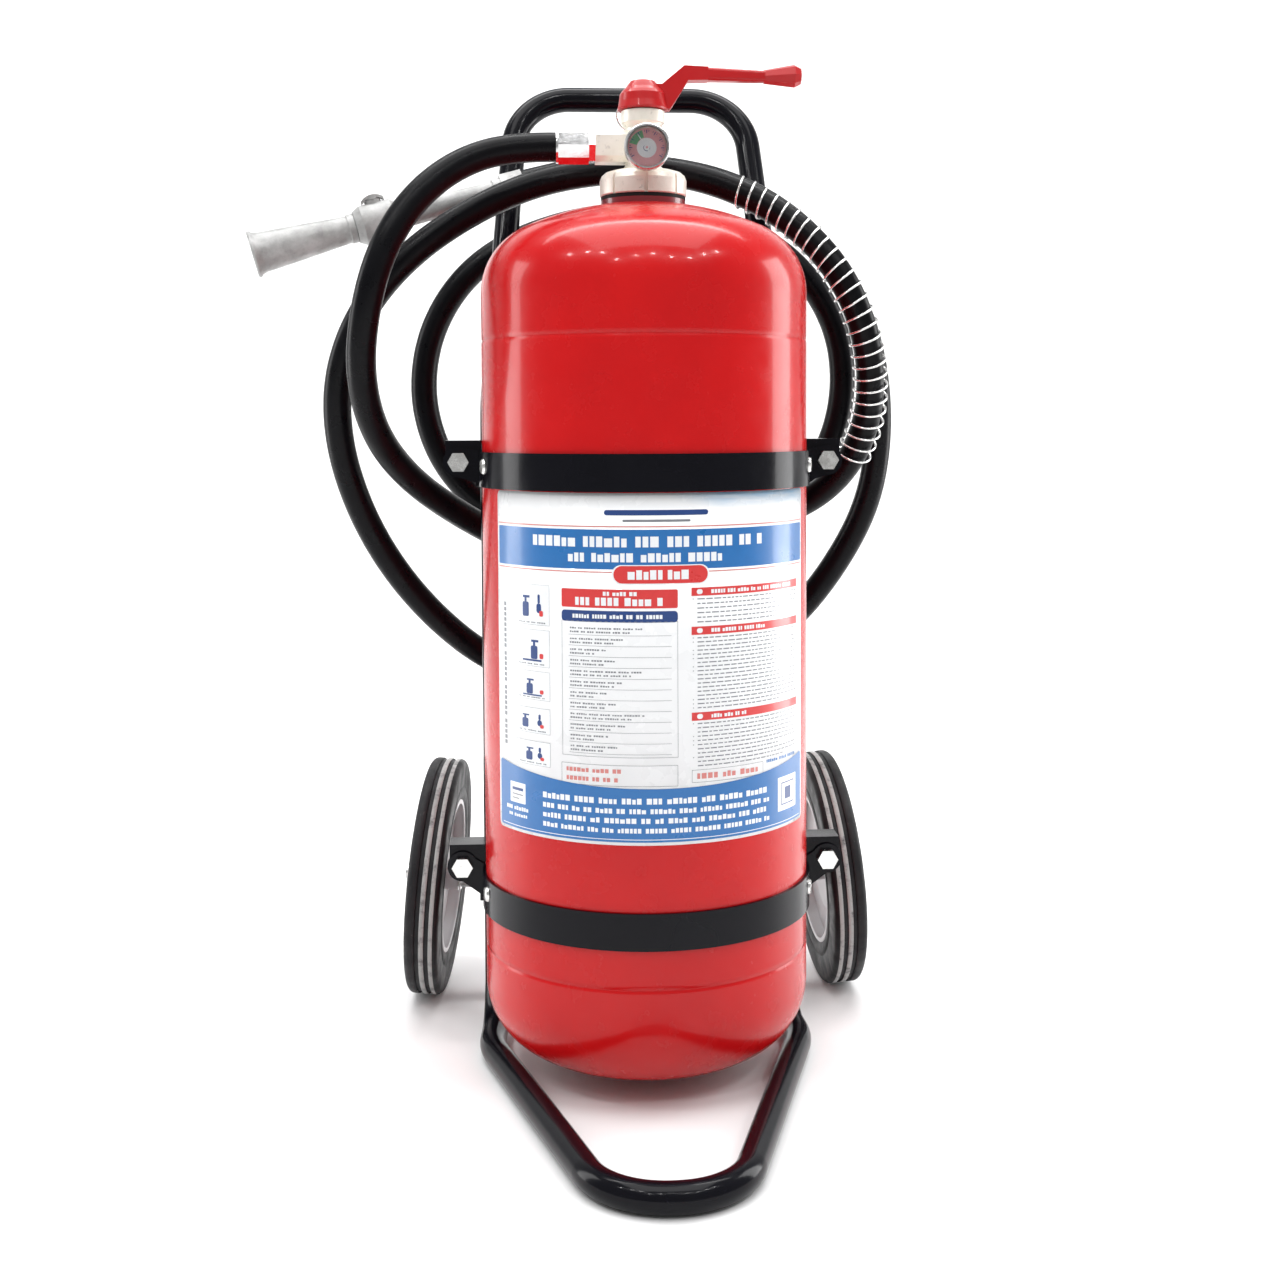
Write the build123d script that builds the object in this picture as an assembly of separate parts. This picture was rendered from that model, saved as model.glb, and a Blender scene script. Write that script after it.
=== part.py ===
from build123d import *
import os
from math import cos, pi, radians, sin, tan

# Wheeled powder fire extinguisher, in millimetres, +Z up, front facing -Y.
# Everything is laid out about the vessel's vertical axis, then shifted along Y so that
# the origin lies on the floor under the middle of the whole object.

# ---- driving dimensions ----
VESSEL_R = 150.0            # outside radius of the pressure vessel
VESSEL_WALL = 3.0
KNUCKLE_TOP = 66.0          # radius between the wall and the top dish
KNUCKLE_BOTTOM = 65.0
TANGENT_TOP = 716.0         # height where the straight wall ends at the top
TANGENT_BOTTOM = 82.0
CROWN_TOP = 24.0            # slope where the top dish meets its knuckle, degrees
CROWN_BOTTOM = 14.0
SEAM_HEIGHTS = (116.0, 673.5)
NECK_R = 39.0
NECK_TOP = 802.0
POWDER_LEVEL = 540.0

TUBE_R = 12.5               # frame tube, 25 mm outside
TUBE_WALL = 2.0
LEG_X = 142.0
LEG_Y = 79.5
LEG_JOINT_Z = 120.0         # weld between the upper and the lower frame tube
HANDLE_BEND_Z = 620.0       # the legs lean back above this height
HANDLE_TOP_Z = 933.5
HANDLE_LEAN = 20.5          # degrees
HANDLE_HALF = 117.0         # corner of the grip bar
FOOT_REACH = 302.0          # front bar of the foot loop, from the vessel's axis
FOOT_FRONT_HALF = 50.5

STRAP_HEIGHTS = (167.0, 556.5)
STRAP_WIDTH = 32.0
STRAP_THICK = 3.0
EAR_Y = 0.0                 # front face of the strap's ears
EAR_END = 186.0
LUG_THICK = 5.0
LUG_X = 151.0               # inner side of the lugs, clear of the vessel
LUG_FLANGE = 27.0
LUG_RISE = 20.0             # height of a lug's flange above its bolt
BOLT_X = 172.0
BOLT_Z = (184.6, 562.6)
RIVET_R = 7.0
RIVET_ANGLE = 75.0          # round the band from the front, degrees
BOLT_R = 5.0

WHEEL_R = 121.5
WHEEL_X = 206.0
WHEEL_Y = 196.0
TYRE_WIDTH = 34.0
TYRE_CORNER = 6.0
TREAD_GROOVES = ((-8.0, -3.5), (1.5, 6.0))   # across the tyre, outwards positive
RIM_R = 79.0
CAMBER = 4.6                # wheel tops lean in, degrees
TOE = {-1: 5.0, 1: 2.0}     # how far each wheel's front points out, degrees
AXLE_R = 8.0
FIT = 0.05                  # radial running clearance
GAP = 0.1                   # clearance of fixed pieces round a bar or tube
HUB_HALF = 22.5
BEAM_R = 13.0
BEAM_END = 148.0

NUT_BASE = 805.5            # underside of the valve's ring nut
NUT_TOP = 829.0
PORT_Z = 851.0              # height of the outlet and of the valve's ball
BONNET_Z = 872.0
SKIRT_Z = 884.5             # underside of the lever hub
PIN_Z = 894.0
HUB_TOP = 912.0
HUB_CAVITY_TOP = 902.0
STEM_TOP = 904.0
ARM_Z = 918.0
ARM_END = 113.0
GRIP_END = 146.5
STEM_R = 6.0
BALL_R = 12.0
SCREW_SEAT = 907.5
SCREW_HEAD_R = 6.5
SCREW_R = 3.0
PIN_R = 1.6
PULL_RING_R = 13.0
PULL_WIRE = 0.9
PORT_R = 8.0
GAUGE_Z = 842.5
GAUGE_R = 20.5
GAUGE_BACK = -42.0
GAUGE_FRONT = -60.0

HOSE_R = 13.5
SPRING_R = 16.5
NOZZLE_LENGTH = 269.0
NOZZLE_VALVE = 146.0        # distance of the nozzle's own valve from its hose end

# The hose's route about the vessel's axis: out of the valve to the left, three loose
# turns behind the vessel, and over the top to the nozzle.
HOSE_ROUTE = [
    (-80, 0, 851), (-124, 0, 851), (-171, -8, 834), (-209, -22, 801), (-236, -34, 756),
    (-252, -34, 703), (-260, -14, 645), (-252, 22, 592), (-226, 68, 548), (-180, 118, 509),
    (-118, 157, 472), (-47, 180, 445), (28, 193, 437), (102, 199, 454), (164, 200, 497),
    (204, 198, 555), (225, 196, 616), (223, 195, 682), (198, 195, 737), (157, 195, 780),
    (99, 196, 807), (30, 198, 817), (-50, 197, 812), (-125, 196, 787), (-175, 195, 750),
    (-208, 195, 697), (-219, 195, 636), (-208, 196, 579), (-180, 197, 533), (-139, 196, 502),
    (-82, 191, 488), (-8, 178, 486), (60, 164, 490), (118, 142, 497), (168, 120, 513),
    (205, 94, 546), (223, 68, 592), (224, 45, 645), (209, 30, 703), (180, 36, 757),
    (134, 54, 802), (75, 70, 832), (15, 78, 844), (-45, 76, 841), (-105, 68, 827),
    (-165, 60, 798), (-222, 54, 757), (-266, 56, 705), (-290, 66, 645), (-292, 84, 582),
    (-276, 103, 518), (-247, 122, 458), (-206, 140, 404), (-155, 160, 358), (-92, 180, 328),
    (-20, 192, 315), (53, 197, 322), (120, 196, 350), (175, 193, 393), (218, 187, 450),
    (248, 176, 512), (257, 163, 580), (250, 147, 650), (229, 132, 714), (194, 121, 768),
    (146, 115, 810), (90, 113, 837), (34, 115, 849), (-20, 112, 852), (-69, 106, 844),
    (-111, 100, 832),
]
SPRING_FIRST = 36           # route corners that the spring guard covers
SPRING_LAST = 40

# ---- worked out from the dimensions above ----
AXIS_Y = (FOOT_REACH + TUBE_R - WHEEL_Y - WHEEL_R) / 2
STRAP_R = VESSEL_R + STRAP_THICK
LUG_Y = EAR_Y + STRAP_THICK
WHEEL_Z = ((WHEEL_R - TYRE_CORNER) * cos(radians(CAMBER))
           + (TYRE_WIDTH / 2 - TYRE_CORNER) * sin(radians(CAMBER)) + TYRE_CORNER)
LOW = (Align.CENTER, Align.CENTER, Align.MIN)
LOW_CORNER = (Align.MIN, Align.MIN, Align.MIN)
PIN_TURN = Rot(0, 0, -90)   # the pin is drawn along -X and turned to the back
PULL_RING_PLACE = Pos(-9.6, 28.5, 885.3) * Rot(90, 0, 0)


def turned(*points):
    """A solid of revolution about Z from (radius, height) points."""
    return revolve(Plane.XZ * make_face(Polyline(*points, close=True)), Axis.Z)


def rod(start, end, radius):
    """A round bar between two points."""
    start, end = Vector(start), Vector(end)
    along = end - start
    return Plane(origin=start, z_dir=along) * Cylinder(radius, along.length, align=LOW)


def ring(outer, inner, low, high):
    """A flat-ended tube about Z."""
    return Pos(0, 0, low) * (Cylinder(outer, high - low, align=LOW)
                             - Cylinder(inner, high - low, align=LOW))


def mirrored(shape):
    return mirror(shape, about=Plane.YZ)


def both_sides(shape):
    return shape + mirrored(shape)


def swept(points, bend_radii, outer, inner=0):
    """A tube along straight runs joined by tangent arcs."""
    path = FilletPolyline(*points, radius=bend_radii)
    section = Circle(outer)
    if inner:
        section = section - Circle(inner)
    start = Plane(origin=points[0], z_dir=Vector(points[1]) - Vector(points[0]))
    return sweep(start * section, path=path)


# ---- pressure vessel ----
def dished_body(radius, knuckle_low, knuckle_high):
    """The vessel's outline turned about Z: straight wall and two dished ends."""
    def half(knuckle, tangent, up, crown_angle):
        slope = radians(crown_angle)
        rim = radius - knuckle
        sweep_angle = pi / 2 - slope
        middle = (rim + knuckle * cos(sweep_angle / 2), tangent + up * knuckle * sin(sweep_angle / 2))
        edge = (rim + knuckle * sin(slope), tangent + up * knuckle * cos(slope))
        crown_r = edge[0] / sin(slope)
        apex = edge[1] + up * edge[0] * tan(slope / 2)
        crown = (crown_r * sin(slope / 2), apex - up * crown_r * (1 - cos(slope / 2)))
        return (radius, tangent), middle, edge, crown, (0, apex)

    top = half(knuckle_high, TANGENT_TOP, 1, CROWN_TOP)
    bottom = half(knuckle_low, TANGENT_BOTTOM, -1, CROWN_BOTTOM)
    outline = [
        ThreePointArc(bottom[4], bottom[3], bottom[2]), ThreePointArc(bottom[2], bottom[1], bottom[0]),
        Line(bottom[0], top[0]), ThreePointArc(top[0], top[1], top[2]),
        ThreePointArc(top[2], top[3], top[4]), Line(top[4], bottom[4]),
    ]
    return revolve(Plane.XZ * make_face(outline), Axis.Z)


def cylinder_shell():
    shell = (dished_body(VESSEL_R, KNUCKLE_BOTTOM, KNUCKLE_TOP)
             - dished_body(VESSEL_R - VESSEL_WALL, KNUCKLE_BOTTOM - VESSEL_WALL, KNUCKLE_TOP - VESSEL_WALL))
    shell -= Pos(0, 0, TANGENT_TOP) * Cylinder(NECK_R, 200, align=LOW)
    for height in SEAM_HEIGHTS:
        shell -= ring(VESSEL_R + 1, VESSEL_R - 0.6, height - 1.2, height + 1.2)
    return shell


def neck_ring():
    return ring(NECK_R, 28, 780, NECK_TOP)


def powder_charge():
    """Extinguishing powder filling about two thirds of the vessel, around the dip tube."""
    gap = 0.5
    wall = VESSEL_WALL + gap
    inside = dished_body(VESSEL_R - wall, KNUCKLE_BOTTOM - wall, KNUCKLE_TOP - wall)
    fill = inside & Cylinder(VESSEL_R, POWDER_LEVEL, align=LOW)
    return fill - Pos(0, 0, 20) * Cylinder(14, POWDER_LEVEL, align=LOW)


def dip_tube():
    return ring(12.5, 11, 24, 770)


def label():
    """Printed sheet wrapped round the front of the vessel."""
    sheet = ring(VESSEL_R + 0.3, VESSEL_R, 241, 540)
    half_angle = 65.0
    reach = 400.0
    side = reach * sin(radians(half_angle))
    front = -reach * cos(radians(half_angle))
    wedge = make_face(Polyline((0, 0), (side, front), (0, -reach * 2), (-side, front), close=True))
    return sheet & extrude(wedge, 800)


# ---- head valve ----
def gasket():
    return ring(NECK_R, 28, NECK_TOP, NUT_BASE)


def ring_nut():
    nut = turned((28, NUT_BASE), (39, NUT_BASE), (40, NUT_BASE + 1), (40, NUT_TOP - 9),
                 (38.5, NUT_TOP - 5), (35, NUT_TOP - 2), (30, NUT_TOP - 0.5), (28, NUT_TOP))
    notch = Pos(40, 0, NUT_BASE) * Box(4, 3, 20, align=LOW)
    for step in range(8):
        nut -= Rot(0, 0, 45 * step + 270) * notch
    return nut


def valve_body():
    body = turned((0, 770), (28, 770), (28, NUT_TOP), (19, NUT_TOP + 2), (16.5, NUT_TOP + 5),
                  (16.5, BONNET_Z - 4), (19, BONNET_Z), (0, BONNET_Z))
    outlet = Pos(-22, 0, PORT_Z) * Box(44, 29, 29)
    body += chamfer(outlet.edges().filter_by(Axis.X), 5)
    body += rod((0, 0, GAUGE_Z), (0, GAUGE_BACK, GAUGE_Z), 11)
    body -= Pos(0, 0, PORT_Z) * Sphere(BALL_R + 0.4)
    body -= rod((0, 0, 760), (0, 0, PORT_Z), PORT_R)
    body -= rod((-60, 0, PORT_Z), (0, 0, PORT_Z), PORT_R)
    return body - rod((0, 0, PORT_Z), (0, 0, BONNET_Z + 5), STEM_R + 0.4)


def bonnet_collar():
    """Threaded collar over the stem, with a grooved neck inside the lever's skirt."""
    bore = STEM_R + FIT
    top = HUB_CAVITY_TOP - 2
    return turned((bore, BONNET_Z), (19, BONNET_Z), (20, BONNET_Z + 1), (20, SKIRT_Z - 1), (14, SKIRT_Z - 1),
                  (14, PIN_Z - 3), (10, PIN_Z - 3), (10, PIN_Z + 3), (14, PIN_Z + 3), (14, top), (bore, top))


def stem_ball():
    """Stem and ball: one port opens downwards and one to the side that the lever turns."""
    ball = Pos(0, 0, PORT_Z) * Sphere(BALL_R) + rod((0, 0, PORT_Z), (0, 0, STEM_TOP), STEM_R)
    ball -= rod((0, 0, PORT_Z - 20), (0, 0, PORT_Z), PORT_R - 1)
    return ball - rod((0, 0, PORT_Z), (0, -20, PORT_Z), PORT_R - 1)


def lever():
    """Quarter-turn handle: skirted hub, cranked arm and flared faceted grip."""
    hub = turned((0, SKIRT_Z), (22.5, SKIRT_Z), (23.2, SKIRT_Z + 1.5), (22, SKIRT_Z + 7.5),
                 (21.2, SKIRT_Z + 14.5), (19, HUB_TOP - 10), (16, HUB_TOP - 7), (13.5, HUB_TOP - 3.5),
                 (11.5, HUB_TOP - 1), (8, HUB_TOP), (0, HUB_TOP))
    crank = make_face(Polyline((8, SKIRT_Z + 2), (25, SKIRT_Z + 1), (29.5, SKIRT_Z + 8), (41.5, ARM_Z - 6.5),
                               (60, ARM_Z - 6), (60, ARM_Z + 6), (38, ARM_Z + 7), (17.5, HUB_TOP - 4),
                               (8, HUB_TOP - 4), close=True))
    hub += extrude(Plane.XZ * crank, 7.5, both=True)
    arm = loft([Plane.YZ.offset(55) * Pos(0, ARM_Z) * RectangleRounded(15, 12, 3),
                Plane.YZ.offset(ARM_END) * Pos(0, ARM_Z - 1.5) * RectangleRounded(12, 10, 3)])
    grip = loft([Plane.YZ.offset(ARM_END - 1) * Pos(0, ARM_Z - 1.5) * RegularPolygon(6.3, 8),
                 Plane.YZ.offset(GRIP_END - 6) * Pos(0, ARM_Z - 0.5) * RegularPolygon(10.5, 8)])
    cap = loft([Plane.YZ.offset(GRIP_END - 6) * Pos(0, ARM_Z - 0.5) * RegularPolygon(10.5, 8),
                Plane.YZ.offset(GRIP_END) * Pos(0, ARM_Z - 0.5) * RegularPolygon(7.5, 8)])
    handle = hub + arm + grip + cap
    handle -= Pos(0, 0, SKIRT_Z - 1) * Cylinder(16, HUB_CAVITY_TOP - SKIRT_Z + 1, align=LOW)
    handle -= rod((0, 0, SKIRT_Z), (0, 0, STEM_TOP), STEM_R)
    handle -= rod((0, 0, STEM_TOP), (0, 0, HUB_TOP + 20), SCREW_R)
    handle -= rod((0, 0, SCREW_SEAT), (0, 0, HUB_TOP + 20), SCREW_HEAD_R + 0.5)
    return handle - PIN_TURN * rod((-40, 0, PIN_Z), (-15, 0, PIN_Z), PIN_R + FIT)


def lever_screw():
    """Socket screw sunk in the top of the lever's hub."""
    screw = rod((0, 0, SCREW_SEAT), (0, 0, HUB_TOP - 1), SCREW_HEAD_R)
    screw += rod((0, 0, STEM_TOP), (0, 0, SCREW_SEAT), SCREW_R)
    socket = extrude(Plane.XY.offset(HUB_TOP - 3) * RegularPolygon(3.2, 6), 5)
    return screw - socket


def safety_pin():
    """Pin in the back of the lever's hub, with a drilled head for the ring."""
    pin = rod((-30, 0, PIN_Z), (-12, 0, PIN_Z), PIN_R) + rod((-31, 0, PIN_Z), (-26, 0, PIN_Z), 3)
    return PIN_TURN * pin - PULL_RING_PLACE * Torus(PULL_RING_R, PULL_WIRE + 0.3)


def pull_ring():
    return PULL_RING_PLACE * Torus(PULL_RING_R, PULL_WIRE)


# ---- pressure gauge ----
GAUGE_PLACE = Plane(origin=(0, 0, GAUGE_Z), x_dir=(1, 0, 0), z_dir=(0, -1, 0))


def gauge_case():
    back, front = -GAUGE_BACK, -GAUGE_FRONT
    return GAUGE_PLACE * turned((0, back), (17, back), (GAUGE_R - 1, back + 5), (GAUGE_R - 1, front - 3),
                                (GAUGE_R - 3, front - 3), (GAUGE_R - 3, back + 7), (0, back + 7))


def gauge_dial():
    low = -GAUGE_BACK + 7
    plate = ring(GAUGE_R - 3.3, 0.01, low, low + 1) + Pos(0, 0, low) * Cylinder(1.0, 4.5, align=LOW)
    return GAUGE_PLACE * (plate + Pos(0, 0, low) * Cylinder(3, 1, align=LOW))


def gauge_needle():
    """Pointer on the dial's pin, lying towards the upper left."""
    low = -GAUGE_BACK + 9
    hub = Pos(0, 0, low) * Cylinder(2.6, 1.2, align=LOW)
    pointer = make_face(Polyline((-1.0, -5), (1.0, -5), (0.3, 14), (-0.3, 14), close=True))
    hub += Pos(0, 0, low) * Rot(0, 0, 35) * extrude(pointer, 0.6)
    return GAUGE_PLACE * (hub - Pos(0, 0, low - 1) * Cylinder(1.0 + FIT, 4, align=LOW))


def gauge_lens():
    front = -GAUGE_FRONT
    return GAUGE_PLACE * (Pos(0, 0, front - 3) * Cylinder(GAUGE_R - 1.5, 1.2, align=LOW))


def gauge_bezel():
    front = -GAUGE_FRONT
    return GAUGE_PLACE * turned((GAUGE_R - 1, front - 9), (GAUGE_R, front - 9), (GAUGE_R, front - 1),
                                (GAUGE_R - 1, front), (GAUGE_R - 2.5, front), (GAUGE_R - 2.5, front - 1.8),
                                (GAUGE_R - 1, front - 1.8))


# ---- hose set ----
def outlet_adaptor():
    nut = extrude(Plane.YZ.offset(-50) * Pos(0, PORT_Z) * RegularPolygon(15.8, 6), 6)
    return nut - rod((-60, 0, PORT_Z), (-40, 0, PORT_Z), PORT_R)


def hose_ferrule():
    """Crimped sleeve with eight flats and a plain lip where the hose enters."""
    sleeve = extrude(Plane.YZ.offset(-78) * Pos(0, PORT_Z) * RegularPolygon(15.6, 8), 28)
    sleeve += rod((-80, 0, PORT_Z), (-78, 0, PORT_Z), 15)
    return sleeve - rod((-81, 0, PORT_Z), (-50, 0, PORT_Z), PORT_R)


def bend_radii(route):
    """Each arc takes 0.45 of the shorter of its two runs."""
    found = []
    for before, here, after in zip(route, route[1:], route[2:]):
        first, second = Vector(here) - Vector(before), Vector(after) - Vector(here)
        turn = radians(first.get_angle(second))
        found.append(0.45 * min(first.length, second.length) / tan(turn / 2))
    return found


def route_length(route, radii):
    """Length of the runs, with each corner cut by its arc."""
    total = sum((Vector(b) - Vector(a)).length for a, b in zip(route, route[1:]))
    for before, here, after, radius in zip(route, route[1:], route[2:], radii):
        turn = radians((Vector(here) - Vector(before)).get_angle(Vector(after) - Vector(here)))
        total -= radius * (2 * tan(turn / 2) - turn)
    return total


def hose():
    radii = bend_radii(HOSE_ROUTE)
    tube = swept(HOSE_ROUTE, radii, HOSE_R)
    length = route_length(HOSE_ROUTE, radii)
    print("hose bend radii", [round(radius) for radius in radii])
    print("hose length", round(length), "volume / (section x length)",
          round(tube.volume / (pi * HOSE_R ** 2 * length), 4))
    return tube


def spring_guard():
    """Sleeve that stands for the steel spring around the hose's right-hand rise."""
    radii = bend_radii(HOSE_ROUTE)[SPRING_FIRST - 1:SPRING_LAST]
    corners = HOSE_ROUTE[SPRING_FIRST:SPRING_LAST + 1]
    start = (Vector(HOSE_ROUTE[SPRING_FIRST - 1]) + Vector(corners[0])) * 0.5
    end = (Vector(corners[-1]) + Vector(HOSE_ROUTE[SPRING_LAST + 1])) * 0.5
    return swept([start, *corners, end], radii, SPRING_R, HOSE_R + 0.4)


NOZZLE_PLACE = Plane(origin=HOSE_ROUTE[-1], z_dir=Vector(HOSE_ROUTE[-1]) - Vector(HOSE_ROUTE[-2]),
                     x_dir=(0.3, -0.9, 0.3))


def nozzle_coupling():
    nut = extrude(RegularPolygon(15, 6), 22) + ring(12, 1, 22, 30)
    return NOZZLE_PLACE * (nut - Cylinder(7, 80))


def nozzle_tube():
    return NOZZLE_PLACE * turned((7, 30), (10, 30), (12, NOZZLE_VALVE - 22), (7, NOZZLE_VALVE - 22))


# ---- the nozzle's own shut-off valve ----
LEVER_UP = Plane(origin=NOZZLE_PLACE.from_local_coords((0, 0, NOZZLE_VALVE)), x_dir=NOZZLE_PLACE.z_dir,
                 z_dir=Vector(0, 0, 1) - NOZZLE_PLACE.z_dir * NOZZLE_PLACE.z_dir.Z)
NOZZLE_BALL_R = 13.0


def nozzle_valve_body():
    low, high = NOZZLE_VALVE - 22, NOZZLE_VALVE + 22
    body = NOZZLE_PLACE * turned((0, low), (13, low), (19, low + 7), (19, high - 7), (15, high), (0, high))
    body += LEVER_UP * Cylinder(8, 21, align=LOW)
    body -= LEVER_UP * Sphere(NOZZLE_BALL_R + 0.4)
    body -= NOZZLE_PLACE * Pos(0, 0, NOZZLE_VALVE) * Cylinder(7, 60)
    return body - LEVER_UP * Cylinder(4 + FIT, 30, align=LOW)


def nozzle_ball():
    """Ball and spindle, shut across the bore."""
    ball = LEVER_UP * (Sphere(NOZZLE_BALL_R) + Cylinder(4, 24, align=LOW))
    return ball - LEVER_UP * Rot(90, 0, 0) * Cylinder(6.5, 60)


def nozzle_lever():
    """Short curved thumb lever on the spindle."""
    blade = make_face(ThreePointArc((-11, 0.5), (0, 5), (11, 0.5)) + Line((11, 0.5), (11, -2.5))
                      + ThreePointArc((11, -2.5), (0, 2), (-11, -2.5)) + Line((-11, -2.5), (-11, 0.5)))
    blade = extrude(Plane.XZ * blade, 5, both=True)
    boss = ring(6.5, 1, 0, 2.2)
    return LEVER_UP * Pos(0, 0, 21.5) * (blade + boss - Cylinder(4, 30))


def nozzle_barrel():
    """Collar, flaring barrel and belled mouth."""
    low = NOZZLE_VALVE + 22
    outside = [(14, low), (14, low + 7), (12.5, low + 8), (18, NOZZLE_LENGTH - 10), (22.5, NOZZLE_LENGTH)]
    inside = [(20.5, NOZZLE_LENGTH), (15.5, NOZZLE_LENGTH - 10), (8, low)]
    return NOZZLE_PLACE * turned(*outside, *inside)


# ---- frame ----
def leg_back(height):
    """How far back the leaning leg stands at a height."""
    return LEG_Y + (height - HANDLE_BEND_Z) * tan(radians(HANDLE_LEAN))


def handle_tube():
    side = [(LEG_X, LEG_Y, LEG_JOINT_Z), (LEG_X, LEG_Y, HANDLE_BEND_Z),
            (HANDLE_HALF, leg_back(HANDLE_TOP_Z), HANDLE_TOP_Z)]
    other = [(-x, y, z) for x, y, z in reversed(side)]
    bends = [120, 58]
    return swept(side + other, bends + bends[::-1], TUBE_R, TUBE_R - TUBE_WALL)


def foot_tube():
    side = [(LEG_X, LEG_Y, LEG_JOINT_Z), (LEG_X, LEG_Y, TUBE_R), (LEG_X + 4, 0, TUBE_R),
            (FOOT_FRONT_HALF, -FOOT_REACH, TUBE_R)]
    other = [(-x, y, z) for x, y, z in reversed(side)]
    bends = [45, 100, 66]
    return swept(side + other, bends + bends[::-1], TUBE_R, TUBE_R - TUBE_WALL)


def leg_space():
    """The space that the two upright legs take up."""
    leg = Pos(LEG_X, LEG_Y, 0) * Cylinder(TUBE_R + GAP, HANDLE_BEND_Z - 30, align=LOW)
    return both_sides(leg)


def ear_outline(height, bolt_z):
    """Flat ear from the vessel's side out to a rounded end round the bolt."""
    inner = VESSEL_R - 5
    bottom, top = height - STRAP_WIDTH / 2, height + STRAP_WIDTH / 2
    end_r = EAR_END - BOLT_X
    blade = make_face(Polyline((inner, bottom), (BOLT_X, bolt_z - end_r), (BOLT_X, bolt_z + end_r),
                               (inner, top), close=True))
    return blade + Pos(BOLT_X, bolt_z) * Circle(end_r) - Pos(BOLT_X, bolt_z) * Circle(BOLT_R + 0.5)


def ear(height, bolt_z, front, thickness):
    return extrude(Plane.XZ.offset(-front) * ear_outline(height, bolt_z), -thickness)


def strap(height, bolt_z):
    band = ring(STRAP_R, VESSEL_R, height - STRAP_WIDTH / 2, height + STRAP_WIDTH / 2)
    band &= Pos(0, EAR_Y + STRAP_THICK, 0) * Box(400, 400, 1200, align=(Align.CENTER, Align.MAX, Align.MIN))
    side = ear(height, bolt_z, EAR_Y, STRAP_THICK)
    return band + (both_sides(side) - Cylinder(VESSEL_R, 1200, align=LOW))


def strap_rivets():
    """Round rivet heads near the ends of both bands."""
    heads = Part()
    head = turned((0, STRAP_R), (RIVET_R, STRAP_R), (RIVET_R - 1, STRAP_R + 2), (0, STRAP_R + 2.5))
    for height in STRAP_HEIGHTS:
        heads += both_sides(Pos(0, 0, height + 3) * Rot(0, 0, RIVET_ANGLE) * Rot(90, 0, 0) * head)
    return heads


def lug_plates(height, bolt_z):
    """Angled brackets from the legs to the backs of the strap's ears."""
    width, top = EAR_END - 2 - LUG_X, bolt_z + LUG_RISE
    plate = ear(height, bolt_z, LUG_Y, LUG_THICK)
    plate += Pos(LUG_X, LUG_Y, bolt_z) * Box(width, LUG_THICK, LUG_RISE, align=LOW_CORNER)
    plate -= rod((BOLT_X, 0, bolt_z), (BOLT_X, 100, bolt_z), BOLT_R + 0.5)
    plate &= Pos(LUG_X, 0, 0) * Box(100, 400, 1200, align=LOW_CORNER)
    plate += Pos(LUG_X, LUG_Y, top - 3) * Box(width, LUG_FLANGE, 3, align=LOW_CORNER)
    plate += (Pos(LUG_X, LUG_Y, height - STRAP_WIDTH / 2)
              * Box(LUG_THICK, LEG_Y - LUG_Y, STRAP_WIDTH, align=LOW_CORNER))
    return both_sides(plate - leg_space())


def rear_saddles():
    """Curved flat bars behind the vessel, from leg to leg."""
    bands = Part()
    for height in STRAP_HEIGHTS:
        bands += ring(VESSEL_R + 4, VESSEL_R, height - 15, height + 15)
    bands &= Pos(0, LEG_Y, 0) * Box(400, 200, 1200, align=(Align.CENTER, Align.MIN, Align.MIN))
    return bands - leg_space()


def hose_hook():
    """Bent bar on the upper saddle that carries the hose's inner turn."""
    back = VESSEL_R + 10
    foot = STRAP_HEIGHTS[1] - 12
    points = [(0, back, foot), (0, back, 780), (0, 216, 780), (0, 222, 806)]
    bar = swept(points, [12, 12], 5)
    tab = (Pos(0, VESSEL_R, foot + 2)
           * Box(20, back - VESSEL_R, 20, align=(Align.CENTER, Align.MIN, Align.MIN)))
    return bar + tab - Cylinder(VESSEL_R + 4 + GAP, 1200, align=LOW)


def bolts():
    made = Part()
    for height in BOLT_Z:
        head = extrude(Plane.XZ.offset(-EAR_Y) * Pos(BOLT_X, height) * RegularPolygon(9.8, 6), 6.4)
        made += both_sides(head + rod((BOLT_X, EAR_Y, height), (BOLT_X, LUG_Y + 16, height), BOLT_R))
    return made


def bolt_rings(start, thickness, outline):
    """Washers or nuts on all four bolts."""
    made = Part()
    for height in BOLT_Z:
        piece = extrude(Plane.XZ.offset(-start) * Pos(BOLT_X, height) * outline, -thickness)
        made += both_sides(piece - rod((BOLT_X, 0, height), (BOLT_X, 100, height), BOLT_R + GAP))
    return made


def axle_place(side):
    """Wheel frame: its Z runs out along the splayed stub axle."""
    lift, back = radians(CAMBER), radians(TOE[side])
    out = Vector(side * cos(lift) * cos(back), cos(lift) * sin(back), sin(lift))
    return Plane(origin=(side * WHEEL_X, WHEEL_Y, WHEEL_Z), x_dir=(0, 0, 1), z_dir=out)


def beam_end(side):
    """Where the line of a stub axle meets the beam's end."""
    place = axle_place(side)
    return place.origin - place.z_dir * ((WHEEL_X - BEAM_END) / abs(place.z_dir.X))


def beam_bar(radius):
    left, right = beam_end(-1), beam_end(1)
    spare = (right - left) * 0.02
    return rod(left - spare, right + spare, radius)


def axle_beam():
    return beam_bar(BEAM_R) & Box(2 * BEAM_END, 800, 800)


def axle_brackets():
    """Side plates that carry the beam behind the legs."""
    middle = (beam_end(-1) + beam_end(1)).Y / 2
    plate = make_face(Polyline((LEG_Y, 88), (middle, 100), (middle + 20, 112), (middle + 20, 134),
                               (middle, 146), (LEG_Y, 190), close=True))
    plate = both_sides(extrude(Plane.YZ.offset(LEG_X - 2.5) * plate, 5))
    return plate - beam_bar(BEAM_R + GAP) - leg_space()


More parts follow.
